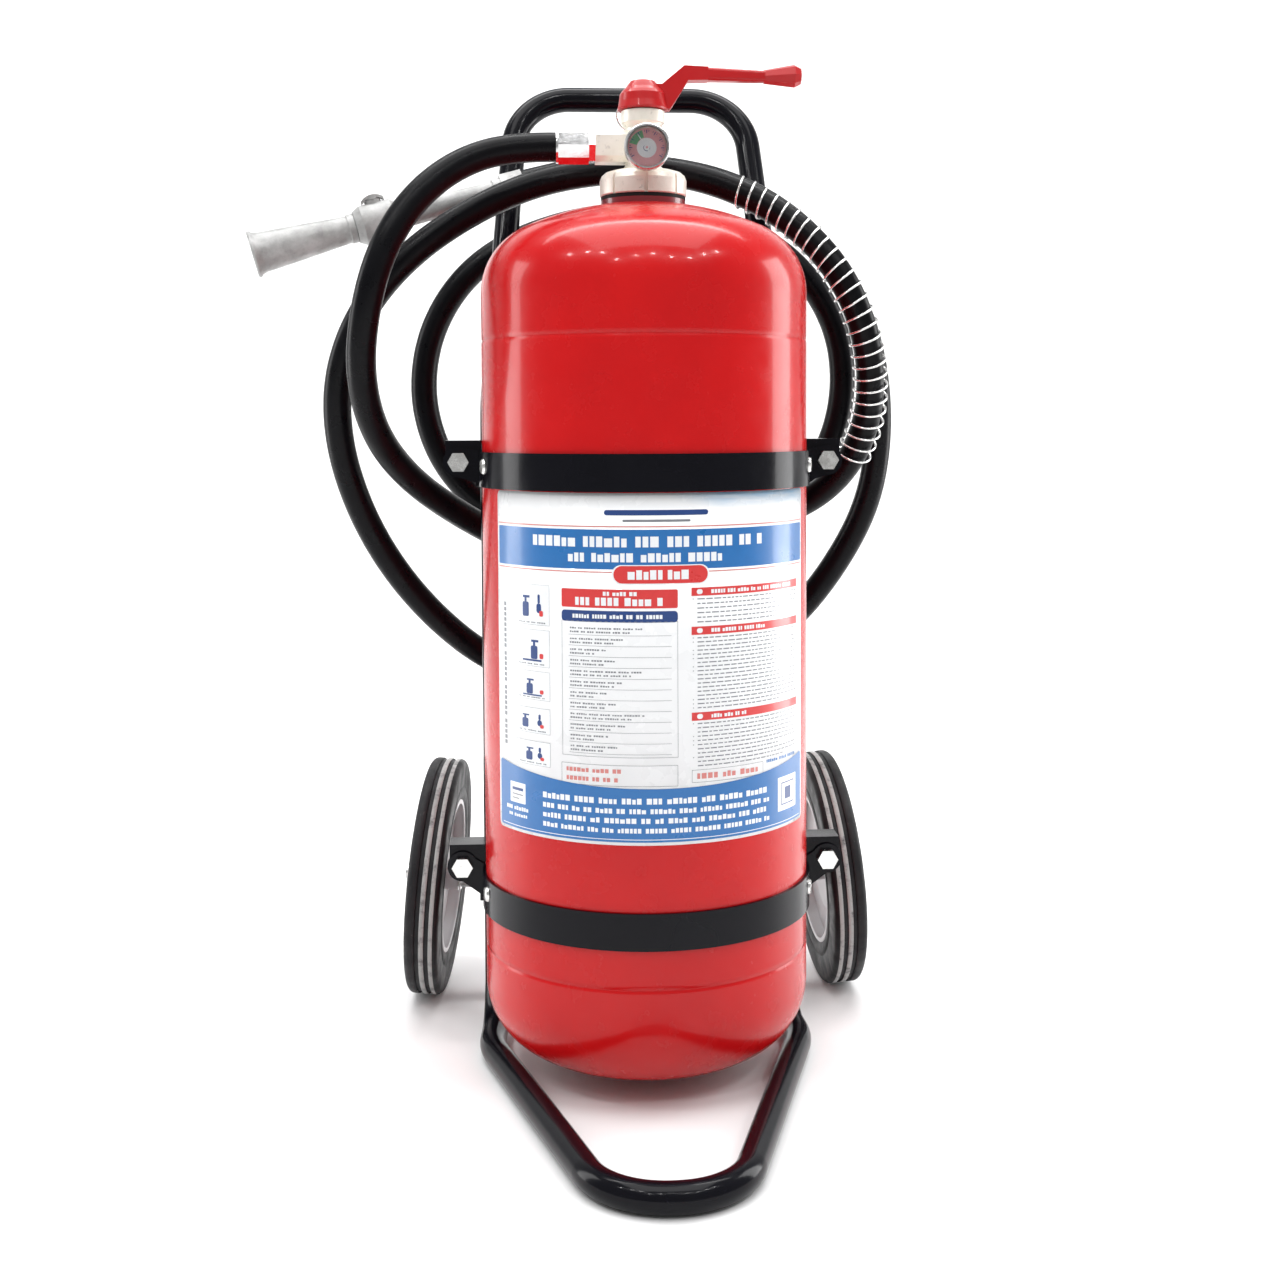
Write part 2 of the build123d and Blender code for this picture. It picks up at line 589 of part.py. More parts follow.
def stub_axle(side):
    bar = ring(11.5, 0.01, -80, -HUB_HALF - 1.8) + Pos(0, 0, -80) * Cylinder(AXLE_R, 115, align=LOW)
    bar = axle_place(side) * bar
    return bar - Box(2 * BEAM_END, 800, 800)


def axle_washers(side):
    half = HUB_HALF + 0.3
    pair = ring(14, AXLE_R + GAP, half, half + 1.5) + ring(14, AXLE_R + GAP, -half - 1.5, -half)
    return axle_place(side) * pair


def axle_nut(side):
    low = HUB_HALF + 1.8
    nut = extrude(Plane.XY.offset(low) * RegularPolygon(13, 6), 8)
    return axle_place(side) * (nut - Cylinder(AXLE_R + GAP, 80))


# ---- wheels ----
def tyre(side):
    """Solid rubber tyre with two grooves round its tread."""
    half = TYRE_WIDTH / 2
    blank = turned((RIM_R, -half + 2), (RIM_R + 8, -half), (WHEEL_R, -half), (WHEEL_R, half),
                   (RIM_R + 8, half), (RIM_R, half - 2))
    shoulders = blank.edges().filter_by(GeomType.CIRCLE).filter_by(lambda edge: edge.radius > WHEEL_R - 1)
    blank = fillet(shoulders, TYRE_CORNER)
    for low, high in TREAD_GROOVES:
        blank -= ring(WHEEL_R + 1, WHEEL_R - 2, low, high)
    return axle_place(side) * blank


def rim(side):
    """Pressed disc rim with a rolled bed, a dished web and a hub sleeve."""
    bore = AXLE_R + FIT + 3
    bed = ring(RIM_R, RIM_R - 2.5, -15.5, 15.5)
    lips = ring(RIM_R, RIM_R - 4.5, 14, 15.5) + ring(RIM_R, RIM_R - 4.5, -15.5, -14)
    web = turned((bore, 4), (28, 4), (46, -3), (RIM_R - 2, -3), (RIM_R - 2, 0), (47, 0), (29, 7), (bore, 7))
    hub = ring(bore + 4, bore, -HUB_HALF + 1, HUB_HALF - 1)
    return axle_place(side) * (bed + lips + web + hub)


def hub_bush(side):
    return axle_place(side) * ring(AXLE_R + FIT + 3, AXLE_R + FIT, -HUB_HALF, HUB_HALF)


# ---- the nodes ----
def all_nodes():
    nodes = {
        "cylinder_shell": cylinder_shell(), "neck_ring": neck_ring(), "powder_charge": powder_charge(),
        "dip_tube": dip_tube(), "label": label(),
        "gasket": gasket(), "ring_nut": ring_nut(), "valve_body": valve_body(),
        "bonnet_collar": bonnet_collar(), "stem_ball": stem_ball(), "lever": lever(),
        "lever_screw": lever_screw(), "safety_pin": safety_pin(), "pull_ring": pull_ring(),
        "gauge_case": gauge_case(), "gauge_dial": gauge_dial(), "gauge_needle": gauge_needle(),
        "gauge_lens": gauge_lens(), "gauge_bezel": gauge_bezel(),
        "outlet_adaptor": outlet_adaptor(), "hose_ferrule": hose_ferrule(), "hose": hose(),
        "spring_guard": spring_guard(), "nozzle_coupling": nozzle_coupling(),
        "nozzle_tube": nozzle_tube(), "nozzle_valve_body": nozzle_valve_body(),
        "nozzle_ball": nozzle_ball(), "nozzle_lever": nozzle_lever(), "nozzle_barrel": nozzle_barrel(),
        "handle_tube": handle_tube(), "foot_tube": foot_tube(),
        "rear_saddles": rear_saddles(), "hose_hook": hose_hook(), "strap_rivets": strap_rivets(),
        "strap_bolts": bolts(), "strap_washers": bolt_rings(LUG_Y + LUG_THICK, 1.8, Circle(9.5)),
        "strap_nuts": bolt_rings(LUG_Y + LUG_THICK + 1.8, 7.5, RegularPolygon(9.8, 6)),
        "axle_beam": axle_beam(), "axle_brackets": axle_brackets(),
    }
    for name, height, bolt_z in zip(("lower", "upper"), STRAP_HEIGHTS, BOLT_Z):
        nodes[name + "_strap"] = strap(height, bolt_z)
        nodes[name + "_lugs"] = lug_plates(height, bolt_z)
    for name, side in (("left", -1), ("right", 1)):
        nodes["tyre_" + name] = tyre(side)
        nodes["rim_" + name] = rim(side)
        nodes["hub_bush_" + name] = hub_bush(side)
        nodes["stub_axle_" + name] = stub_axle(side)
        nodes["axle_washers_" + name] = axle_washers(side)
        nodes["axle_nut_" + name] = axle_nut(side)
    return nodes


os.makedirs("parts", exist_ok=True)
for node_name, solid in all_nodes().items():
    export_step(solid.moved(Location((0, AXIS_Y, 0))), f"parts/{node_name}.step")
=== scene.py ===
import random
from math import ceil, cos, pi, radians, sin, sqrt, tan

import bpy
from mathutils import Matrix, Vector


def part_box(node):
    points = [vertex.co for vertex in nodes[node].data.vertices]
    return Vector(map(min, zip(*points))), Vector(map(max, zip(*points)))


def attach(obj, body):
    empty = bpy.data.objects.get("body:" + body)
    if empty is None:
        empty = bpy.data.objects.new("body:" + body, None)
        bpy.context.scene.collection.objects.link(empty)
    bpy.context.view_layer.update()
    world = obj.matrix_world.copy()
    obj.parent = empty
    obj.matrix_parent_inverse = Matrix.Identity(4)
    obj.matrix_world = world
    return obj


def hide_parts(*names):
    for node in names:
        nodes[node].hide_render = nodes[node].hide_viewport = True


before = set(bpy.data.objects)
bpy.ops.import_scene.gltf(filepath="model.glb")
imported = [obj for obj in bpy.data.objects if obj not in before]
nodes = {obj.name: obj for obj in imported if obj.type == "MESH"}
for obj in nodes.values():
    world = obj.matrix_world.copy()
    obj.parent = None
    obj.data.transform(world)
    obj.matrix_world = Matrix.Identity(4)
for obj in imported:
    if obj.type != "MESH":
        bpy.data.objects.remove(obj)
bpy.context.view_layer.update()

MM = 0.001

# ---- places read from the frame ----
shell_low, shell_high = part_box("cylinder_shell")
AXIS_Y = (shell_low[1] + shell_high[1]) / 2
VESSEL_R = 0.150
GAUGE_Z = 0.8425


def at_axis(x, y, z):
    """A point given about the vessel's axis, in the row frame."""
    return Vector((x, y + AXIS_Y, z))


# ---- camera ----
LENS = 44.41
SHIFT = (-0.0026, -0.1094)
CAMERA_PLACE = (-0.0998, -1.4649, 0.600)
CAMERA_YAW = -3.856
CAMERA_PITCH = -2.870
CAMERA_ROLL = 0.26


def make_camera():
    data = bpy.data.cameras.new("photo_camera")
    data.sensor_width = 36.0
    data.lens = LENS
    data.shift_x, data.shift_y = SHIFT
    data.clip_end = 50.0
    camera = bpy.data.objects.new("photo_camera", data)
    bpy.context.scene.collection.objects.link(camera)
    turn = Matrix.Rotation(radians(CAMERA_YAW), 4, "Z") @ Matrix.Rotation(radians(CAMERA_PITCH), 4, "X")
    roll = Matrix.Rotation(radians(CAMERA_ROLL), 4, "Y")
    place = Matrix.Translation(at_axis(*CAMERA_PLACE))
    camera.matrix_world = place @ turn @ roll @ Matrix.Rotation(radians(90), 4, "X")
    bpy.context.scene.camera = camera


make_camera()


# ---- materials ----
class Shade:
    """A node material with small helpers for procedural detail."""

    def __init__(self, name, color, roughness, metallic=0.0, **sockets):
        self.material = bpy.data.materials.new(name)
        self.material.use_nodes = True
        self.tree = self.material.node_tree
        self.shader = self.tree.nodes["Principled BSDF"]
        self.color = (*color, 1.0)
        self.shader.inputs["Base Color"].default_value = self.color
        self.shader.inputs["Roughness"].default_value = roughness
        self.shader.inputs["Metallic"].default_value = metallic
        for socket, value in sockets.items():
            self.shader.inputs[socket.replace("_", " ")].default_value = value
        self.place = self.node("ShaderNodeTexCoord").outputs["Object"]

    def node(self, kind, **settings):
        made = self.tree.nodes.new(kind)
        for key, value in settings.items():
            setattr(made, key, value)
        return made

    def link(self, source, target):
        self.tree.links.new(source, target)

    def noise(self, scale, detail=4.0, roughness=0.55, stretch=None):
        texture = self.node("ShaderNodeTexNoise")
        texture.inputs["Scale"].default_value = scale
        texture.inputs["Detail"].default_value = detail
        texture.inputs["Roughness"].default_value = roughness
        place = self.place
        if stretch:
            mapping = self.node("ShaderNodeMapping")
            mapping.inputs["Scale"].default_value = stretch
            self.link(self.place, mapping.inputs["Vector"])
            place = mapping.outputs["Vector"]
        self.link(place, texture.inputs["Vector"])
        return texture.outputs["Fac"]

    def span(self, value, low, high, to_low=0.0, to_high=1.0):
        """value from low..high to to_low..to_high, clamped."""
        change = self.node("ShaderNodeMapRange")
        change.inputs["From Min"].default_value = low
        change.inputs["From Max"].default_value = high
        change.inputs["To Min"].default_value = to_low
        change.inputs["To Max"].default_value = to_high
        self.link(value, change.inputs["Value"])
        return change.outputs["Result"]

    def math(self, operation, first, second=0.0):
        made = self.node("ShaderNodeMath", operation=operation)
        for socket, value in zip(made.inputs, (first, second)):
            if isinstance(value, (int, float)):
                socket.default_value = value
            else:
                self.link(value, socket)
        return made.outputs[0]

    def tint(self, factor, other, base=None):
        """Mixes the present colour towards other by factor."""
        mix = self.node("ShaderNodeMix", data_type="RGBA")
        mix.inputs["A"].default_value = self.color
        if base is not None:
            self.link(base, mix.inputs["A"])
        mix.inputs["B"].default_value = (*other, 1.0)
        self.link(factor, mix.inputs["Factor"])
        self.link(mix.outputs["Result"], self.shader.inputs["Base Color"])
        return mix.outputs["Result"]

    def rough(self, value):
        self.link(value, self.shader.inputs["Roughness"])

    def bump(self, *layers):
        """Each layer is (height, strength, distance); they stack."""
        normal = None
        for height, strength, distance in layers:
            made = self.node("ShaderNodeBump")
            made.inputs["Strength"].default_value = strength
            made.inputs["Distance"].default_value = distance
            self.link(height, made.inputs["Height"])
            if normal is not None:
                self.link(normal, made.inputs["Normal"])
            normal = made.outputs["Normal"]
        self.link(normal, self.shader.inputs["Normal"])


def enamel(name, color, deep, roughness, peel=0.06, coat=0.5, gloss=0.5):
    """Gloss enamel: faint colour drift, orange peel and a clear coat."""
    shade = Shade(name, color, roughness, Coat_Weight=coat, Coat_Roughness=0.06, IOR=1.5,
                  Specular_IOR_Level=gloss)
    shade.tint(shade.span(shade.noise(7.0, 3.0), 0.35, 0.75, 0.0, 0.55), deep)
    shade.rough(shade.span(shade.noise(38.0, 5.0), 0.3, 0.75, roughness * 0.8, roughness * 1.35))
    shade.bump((shade.noise(260.0, 2.0), peel, 0.0004), (shade.noise(22.0, 2.0), peel * 0.7, 0.002))
    return shade.material


def plated(name, color, roughness, grain, metallic=1.0, dull=(0.5, 0.48, 0.44)):
    """Bright or satin plated metal with fine scratches and dull patches."""
    shade = Shade(name, color, roughness, metallic)
    shade.tint(shade.span(shade.noise(60.0, 5.0), 0.48, 0.8, 0.0, 0.5), dull)
    shade.rough(shade.span(shade.noise(140.0, 6.0), 0.3, 0.75, roughness * 0.7, roughness * 1.6))
    shade.bump((shade.noise(grain, 3.0), 0.10, 0.0004))
    return shade.material


def cast_metal(name, color, roughness, dull, grain=420.0, pits=0.35, metallic=0.9):
    """Cast alloy: grainy skin, cloudy tone and shallow dents."""
    shade = Shade(name, color, roughness, metallic)
    cloudy = shade.tint(shade.span(shade.noise(34.0, 6.0, 0.65), 0.40, 0.72), dull)
    shade.tint(shade.span(shade.noise(210.0, 3.0), 0.60, 0.78, 0.0, 0.35), (0.22, 0.21, 0.2), cloudy)
    shade.rough(shade.span(shade.noise(90.0, 5.0), 0.3, 0.7, roughness * 0.75, roughness * 1.3))
    shade.bump((shade.noise(grain, 4.0, 0.7), pits, 0.0006), (shade.noise(45.0, 3.0), 0.25, 0.002))
    return shade.material


def rubber(name, color, dust, roughness, grain=300.0):
    """Satin rubber with a little dust."""
    shade = Shade(name, color, roughness, IOR=1.5, Specular_IOR_Level=0.12)
    shade.tint(shade.span(shade.noise(26.0, 6.0, 0.65), 0.42, 0.85, 0.0, 0.5), dust)
    shade.rough(shade.span(shade.noise(55.0, 5.0), 0.3, 0.75, roughness * 0.8, roughness * 1.25))
    shade.bump((shade.noise(grain, 4.0, 0.6), 0.16, 0.0006), (shade.noise(1500.0, 2.0), 0.12, 0.0002))
    return shade.material


def printed(name, color, shift, roughness=0.32):
    """Printed film: tiny ink mottling under a satin laminate."""
    shade = Shade(name, color, roughness, Coat_Weight=0.35, Coat_Roughness=0.12)
    shade.tint(shade.span(shade.noise(160.0, 3.0), 0.4, 0.8, 0.0, 0.4), shift)
    shade.rough(shade.span(shade.noise(30.0, 4.0), 0.3, 0.75, roughness * 0.8, roughness * 1.3))
    shade.bump((shade.noise(45.0, 2.0), 0.05, 0.0015))
    return shade.material


def label_film():
    """White film with a faint blue sweep in the top right corner."""
    shade = Shade("label_film", (0.86, 0.87, 0.88), 0.30, Coat_Weight=0.4, Coat_Roughness=0.1)
    axes = shade.node("ShaderNodeSeparateXYZ")
    shade.link(shade.place, axes.inputs["Vector"])
    wave = shade.math("SINE", shade.math("MULTIPLY", axes.outputs["X"], 34.0))
    edge = shade.math("ADD", shade.math("MULTIPLY", axes.outputs["X"], 0.10),
                      shade.math("MULTIPLY", wave, 0.004))
    height = shade.math("SUBTRACT", shade.math("ADD", axes.outputs["Z"], edge), 0.5355)
    top = shade.span(height, 0.0, 0.010, 0.0, 0.75)
    right = shade.span(axes.outputs["X"], -0.01, 0.06)
    streak = shade.span(shade.noise(30.0, 4.0, stretch=(1.0, 1.0, 9.0)), 0.35, 0.7, 0.35, 1.0)
    sweep = shade.math("MULTIPLY", shade.math("MULTIPLY", top, right), streak)
    shade.tint(sweep, (0.22, 0.50, 0.78))
    shade.rough(shade.span(shade.noise(30.0, 4.0), 0.3, 0.75, 0.22, 0.38))
    shade.bump((shade.noise(40.0, 2.0), 0.05, 0.0015))
    return shade.material


def tyre_rubber():
    """Solid tyre rubber, dusty and a little scuffed."""
    shade = Shade("tyre_rubber", (0.008, 0.008, 0.010), 0.5, Specular_IOR_Level=0.3)
    cloud = shade.tint(shade.span(shade.noise(40.0, 6.0, 0.7), 0.42, 0.8, 0.0, 0.5), (0.03, 0.03, 0.03))
    shade.tint(shade.span(shade.noise(170.0, 5.0, 0.7), 0.62, 0.75, 0.0, 0.6), (0.09, 0.088, 0.085), cloud)
    shade.rough(shade.span(shade.noise(60.0, 5.0), 0.3, 0.75, 0.42, 0.72))
    shade.bump((shade.noise(360.0, 4.0, 0.7), 0.3, 0.0006))
    return shade.material


def worn_rib():
    """The two tread ribs, scuffed pale."""
    shade = Shade("worn_rib", (0.36, 0.36, 0.355), 0.62)
    shade.tint(shade.span(shade.noise(60.0, 6.0, 0.75), 0.50, 0.72), (0.05, 0.05, 0.053))
    shade.bump((shade.noise(500.0, 4.0, 0.7), 0.4, 0.0005))
    return shade.material


def glass():
    """The gauge's clear lens."""
    shade = Shade("gauge_glass", (0.97, 0.98, 0.98), 0.03, Transmission_Weight=1.0, IOR=1.45, Alpha=1.0)
    shade.bump((shade.noise(120.0, 2.0), 0.01, 0.0003))
    return shade.material


RED = enamel("red_enamel", (0.56, 0.005, 0.006), (0.38, 0.003, 0.006), 0.24, coat=0.22, gloss=0.20)
NECK_RED = enamel("neck_enamel", (0.22, 0.003, 0.010), (0.12, 0.002, 0.006), 0.32)
BLACK = enamel("black_enamel", (0.003, 0.003, 0.005), (0.006, 0.006, 0.009), 0.18, peel=0.10,
               coat=0.10, gloss=0.11)
LEVER_RED = enamel("lever_enamel", (0.44, 0.006, 0.008), (0.34, 0.004, 0.006), 0.34, peel=0.16,
                   coat=0.2, gloss=0.3)
SILVER = enamel("rim_silver", (0.56, 0.56, 0.57), (0.42, 0.42, 0.43), 0.34, peel=0.12, coat=0.2)
NICKEL = cast_metal("satin_nickel", (0.88, 0.85, 0.77), 0.36, (0.80, 0.76, 0.66), pits=0.16, metallic=0.3)
CHROME = plated("chrome", (0.86, 0.86, 0.87), 0.12, 500.0)
ZINC = plated("bright_zinc", (0.82, 0.82, 0.80), 0.22, 380.0)
STEEL = plated("turned_steel", (0.62, 0.62, 0.62), 0.26, 700.0)
SPRING_STEEL = plated("spring_steel", (0.88, 0.88, 0.87), 0.20, 900.0, metallic=0.85)
CAST = cast_metal("cast_alloy", (0.45, 0.45, 0.445), 0.42, (0.22, 0.22, 0.215), metallic=0.2)
HOSE = rubber("hose_rubber", (0.003, 0.003, 0.004), (0.006, 0.006, 0.008), 0.30)
GASKET = rubber("gasket_rubber", (0.012, 0.012, 0.012), (0.03, 0.03, 0.03), 0.55)
TYRE = tyre_rubber()
WORN = worn_rib()
NYLON = printed("bush_nylon", (0.78, 0.77, 0.72), (0.68, 0.66, 0.6), 0.4)
POWDER = rubber("pale_powder", (0.80, 0.79, 0.74), (0.70, 0.69, 0.62), 0.9)
FILM = label_film()
INK = {
    "blue": printed("ink_blue", (0.012, 0.145, 0.42), (0.010, 0.12, 0.36)),
    "navy": printed("ink_navy", (0.010, 0.045, 0.19), (0.012, 0.055, 0.23)),
    "red": printed("ink_red", (0.66, 0.035, 0.035), (0.56, 0.03, 0.03)),
    "grey": printed("ink_grey", (0.20, 0.21, 0.23), (0.30, 0.31, 0.33)),
    "pink": printed("ink_pale_red", (0.62, 0.20, 0.18), (0.68, 0.28, 0.26)),
    "white": printed("ink_white", (0.84, 0.86, 0.88), (0.78, 0.81, 0.85)),
    "sky": printed("ink_sky", (0.36, 0.60, 0.82), (0.42, 0.66, 0.86)),
    "green": printed("ink_green", (0.10, 0.36, 0.16), (0.12, 0.42, 0.2)),
    "rose": printed("ink_rose", (0.74, 0.34, 0.37), (0.66, 0.26, 0.30)),
}


# ---- helpers for pieces ----
def new_piece(name, mesh, material, body="frame", smooth=True):
    piece = bpy.data.objects.new(name, mesh)
    bpy.context.scene.collection.objects.link(piece)
    for used in material if isinstance(material, (list, tuple)) else [material]:
        mesh.materials.append(used)
    if smooth:
        mesh.shade_smooth()
    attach(piece, body)
    return piece


def mesh_of(name, points, faces):
    mesh = bpy.data.meshes.new(name)
    mesh.from_pydata([tuple(p) for p in points], [], faces)
    mesh.update()
    return mesh


def lathe(name, outline, segments=128, place=None, loop=False):
    """A surface of revolution about Z; a radius of 0 is a pole, and loop joins last to first."""
    points, faces, rows = [], [], []
    for radius, height in outline:
        if radius < 1e-7:
            rows.append([len(points)] * segments)
            points.append(Vector((0, 0, height)))
            continue
        rows.append([len(points) + k for k in range(segments)])
        for k in range(segments):
            angle = 2 * pi * k / segments
            points.append(Vector((radius * cos(angle), radius * sin(angle), height)))
    for low, high in zip(rows, rows[1:] + rows[:1] if loop else rows[1:]):
        for k in range(segments):
            n = (k + 1) % segments
            face = list(dict.fromkeys([low[k], low[n], high[n], high[k]]))
            if len(face) > 2:
                faces.append(face)
    if place is not None:
        points = [place @ p for p in points]
    return mesh_of(name, points, faces)


def arc(center, radius, start, end, steps):
    """Points of an arc in the (radius, height) plane; angles in degrees."""
    made = []
    for k in range(steps + 1):
        angle = radians(start + (end - start) * k / steps)
        made.append((center[0] + radius * cos(angle), center[1] + radius * sin(angle)))
    return made


def soften(name, width):
    """Rounds a CAD node's sharp edges and shades it smooth."""
    node = nodes[name]
    node.data.shade_smooth()
    bevel = node.modifiers.new("edge_round", "BEVEL")
    bevel.width = width
    bevel.segments = 3
    bevel.limit_method = "ANGLE"
    bevel.angle_limit = radians(30)
    bevel.harden_normals = True
    bevel.use_clamp_overlap = True
    weighted = node.modifiers.new("weighted", "WEIGHTED_NORMAL")
    weighted.keep_sharp = True


def hard_edges(name, angle):
    """Keeps a CAD node's facets crisp and shades its curves smooth."""
    node = nodes[name]
    split = node.modifiers.new("hard_edges", "EDGE_SPLIT")
    split.split_angle = radians(angle)
    node.data.shade_smooth()


def paint(material, *names):
    for name in names:
        slots = nodes[name].data.materials
        slots.clear()
        slots.append(material)


# ---- pressure vessel ----
KNUCKLE_TOP = 0.066
KNUCKLE_BOTTOM = 0.065
TANGENT_TOP = 0.716
TANGENT_BOTTOM = 0.082
CROWN_TOP = 24.0            # slope where crown meets knuckle, in degrees
CROWN_BOTTOM = 14.0
SEAMS = (0.116, 0.6735)


def vessel_outline():
    """(radius, height) from the bottom pole to the top pole, with the two weld seams."""
    def crown(knuckle, tangent, up, slope):
        edge_r = VESSEL_R - knuckle + knuckle * sin(radians(slope))
        edge_z = tangent + up * knuckle * cos(radians(slope))
        crown_r = edge_r / sin(radians(slope))
        apex = edge_z + up * edge_r * tan(radians(slope / 2))
        angles = [slope * k / 12 for k in range(12)]
        return [(crown_r * sin(radians(a)), apex - up * crown_r * (1 - cos(radians(a)))) for a in angles]

    low_rim = (VESSEL_R - KNUCKLE_BOTTOM, TANGENT_BOTTOM)
    high_rim = (VESSEL_R - KNUCKLE_TOP, TANGENT_TOP)
    outline = crown(KNUCKLE_BOTTOM, TANGENT_BOTTOM, -1, CROWN_BOTTOM)
    outline += arc(low_rim, KNUCKLE_BOTTOM, -90 + CROWN_BOTTOM, 0, 24)
    for seam in SEAMS:
        outline += [(VESSEL_R, seam - 0.004), (VESSEL_R - 0.0001, seam - 0.0016),
                    (VESSEL_R - 0.0007, seam - 0.0006), (VESSEL_R - 0.0007, seam + 0.0004),
                    (VESSEL_R - 0.0002, seam + 0.0010), (VESSEL_R - 0.0001, seam + 0.005)]
        if seam == SEAMS[0]:
            outline += [(VESSEL_R, seam + 0.02), (VESSEL_R, 0.4), (VESSEL_R, SEAMS[1] - 0.02)]
    outline += arc(high_rim, KNUCKLE_TOP, 0, 90 - CROWN_TOP, 24)
    return outline + crown(KNUCKLE_TOP, TANGENT_TOP, 1, CROWN_TOP)[::-1]


on_axis = Matrix.Translation((0, AXIS_Y, 0))
vessel = new_piece("vessel_skin", lathe("vessel_skin", vessel_outline(), 192, on_axis), RED)
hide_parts("cylinder_shell")


# ---- label ----
MM_PER_DEGREE = 2.62        # round the vessel's surface


class Print:
    """Flat printed shapes wrapped round the vessel, gathered into one mesh."""

    def __init__(self):
        self.points, self.faces, self.inks = [], [], []

    def shape(self, start, end, low, high, ink, layer=1, corner=0.0):
        """From angle start to end, between low and high, in degrees and millimetres.
        low and high may be functions of the angle; corner rounds all four corners."""
        radius = VESSEL_R + (0.32 + 0.05 * layer) * MM
        stretch = radius * 1000 * pi / 180
        low_at = low if callable(low) else lambda angle: low
        high_at = high if callable(high) else lambda angle: high
        ends = [0.0]
        if corner:
            ends = [corner * (1 - cos(radians(15 * k))) / stretch for k in range(7)]
        inner = [start + e for e in ends] + [end - e for e in reversed(ends)]
        stops = []
        for a, b in zip(inner, inner[1:]):
            parts = max(1, ceil((b - a) / 2.0))
            stops += [a + (b - a) * k / parts for k in range(parts)]
        stops.append(end)
        first = len(self.points)
        for angle in stops:
            inset = 0.0
            near = min(angle - start, end - angle) * stretch
            if corner and near < corner:
                inset = corner - sqrt(max(0.0, corner ** 2 - (corner - near) ** 2))
            across = radians(angle)
            for height in (low_at(angle) + inset, high_at(angle) - inset):
                self.points.append(at_axis(radius * sin(across), -radius * cos(across), height * MM))
        for k in range(len(stops) - 1):
            a = first + 2 * k
            self.faces.append((a, a + 2, a + 3, a + 1))
            self.inks.append(ink)

    def frame(self, start, end, low, high, ink, line=0.35, layer=1):
        """An outlined box."""
        side = line / MM_PER_DEGREE
        self.shape(start, end, low, low + line, ink, layer)
        self.shape(start, end, high - line, high, ink, layer)
        self.shape(start, start + side, low, high, ink, layer)
        self.shape(end - side, end, low, high, ink, layer)

    def words(self, start, end, low, high, ink, layer=1, letter=1.0, space=1.4, gap=0.28, seed=1):
        """A line of blank blocks grouped like words."""
        draw = random.Random(seed)
        angle = start
        while angle < end - letter:
            for _ in range(draw.randint(2, 6)):
                width = letter * draw.uniform(0.65, 1.15)
                if angle + width > end:
                    return
                top = high - (high - low) * draw.choice((0.0, 0.0, 0.0, 0.18))
                self.shape(angle, angle + width, low, top, ink, layer)
                angle += width + gap
            angle += space

    def paragraph(self, start, end, top, bottom, pitch, ink, seed, indent=1.6):
        """Rows of fine text-like dashes with a bullet at the start of some rows."""
        draw = random.Random(seed)
        row = top
        while row - 1.1 > bottom:
            fresh = draw.random() < 0.4
            if fresh:
                self.shape(start, start + 0.35, row - 0.9, row - 0.2, ink, 1)
            angle = start + indent
            stop = end - (draw.uniform(3, 14) if draw.random() < 0.35 else draw.uniform(0, 2))
            while angle < stop - 0.8:
                width = draw.uniform(0.8, 2.6)
                self.shape(angle, min(angle + width, stop), row - 1.05, row - 0.1, ink, 1)
                angle += width + 0.5
            row -= pitch

    def piece(self, name):
        mesh = mesh_of(name, self.points, self.faces)
        names = list(INK)
        printed_piece = new_piece(name, mesh, [INK[n] for n in names], smooth=True)
        for face, ink in zip(mesh.polygons, self.inks):
            face.material_index = names.index(ink)
        return printed_piece


LABEL_LEFT = -63.5
LABEL_RIGHT = 65.0
LABEL_LOW = 241.3
LABEL_HIGH = 539.7


def label_sheet():
    """The film: a thin curved sheet with rounded corners and a real thickness."""
    outside, inside = VESSEL_R + 0.0003, VESSEL_R + 0.00002
    stretch = outside * 1000 * pi / 180
    corner = 5.0
    ends = [corner * (1 - cos(radians(15 * k))) / stretch for k in range(7)]
    stops = [LABEL_LEFT + e for e in ends]
    parts = 64
    wide = LABEL_RIGHT - LABEL_LEFT - 2 * ends[-1]
    stops += [LABEL_LEFT + ends[-1] + wide * k / parts for k in range(1, parts)]
    stops += [LABEL_RIGHT - e for e in reversed(ends)]
    points, faces = [], []
    for angle in stops:
        near = min(angle - LABEL_LEFT, LABEL_RIGHT - angle) * stretch
        inset = corner - sqrt(max(0.0, corner ** 2 - (corner - near) ** 2)) if near < corner else 0.0
        across = radians(angle)
        for radius in (outside, inside):
            for height in (LABEL_LOW + inset, LABEL_HIGH - inset):
                points.append(at_axis(radius * sin(across), -radius * cos(across), height * MM))
    for k in range(len(stops) - 1):
        a, b = 4 * k, 4 * k + 4
        faces += [(a, b, b + 1, a + 1), (a + 3, b + 3, b + 2, a + 2),
                  (a + 1, b + 1, b + 3, a + 3), (a + 2, b + 2, b, a)]
    last = 4 * (len(stops) - 1)
    faces += [(0, 1, 3, 2), (last + 2, last + 3, last + 1, last)]
    sheet = new_piece("label_film", mesh_of("label_film", points, faces), FILM)
    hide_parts("label")


def band_top(angle):
    """The lower blue band's top edge dips in the middle."""
    return 289.5 + 13.0 * (angle / 62.0) ** 2


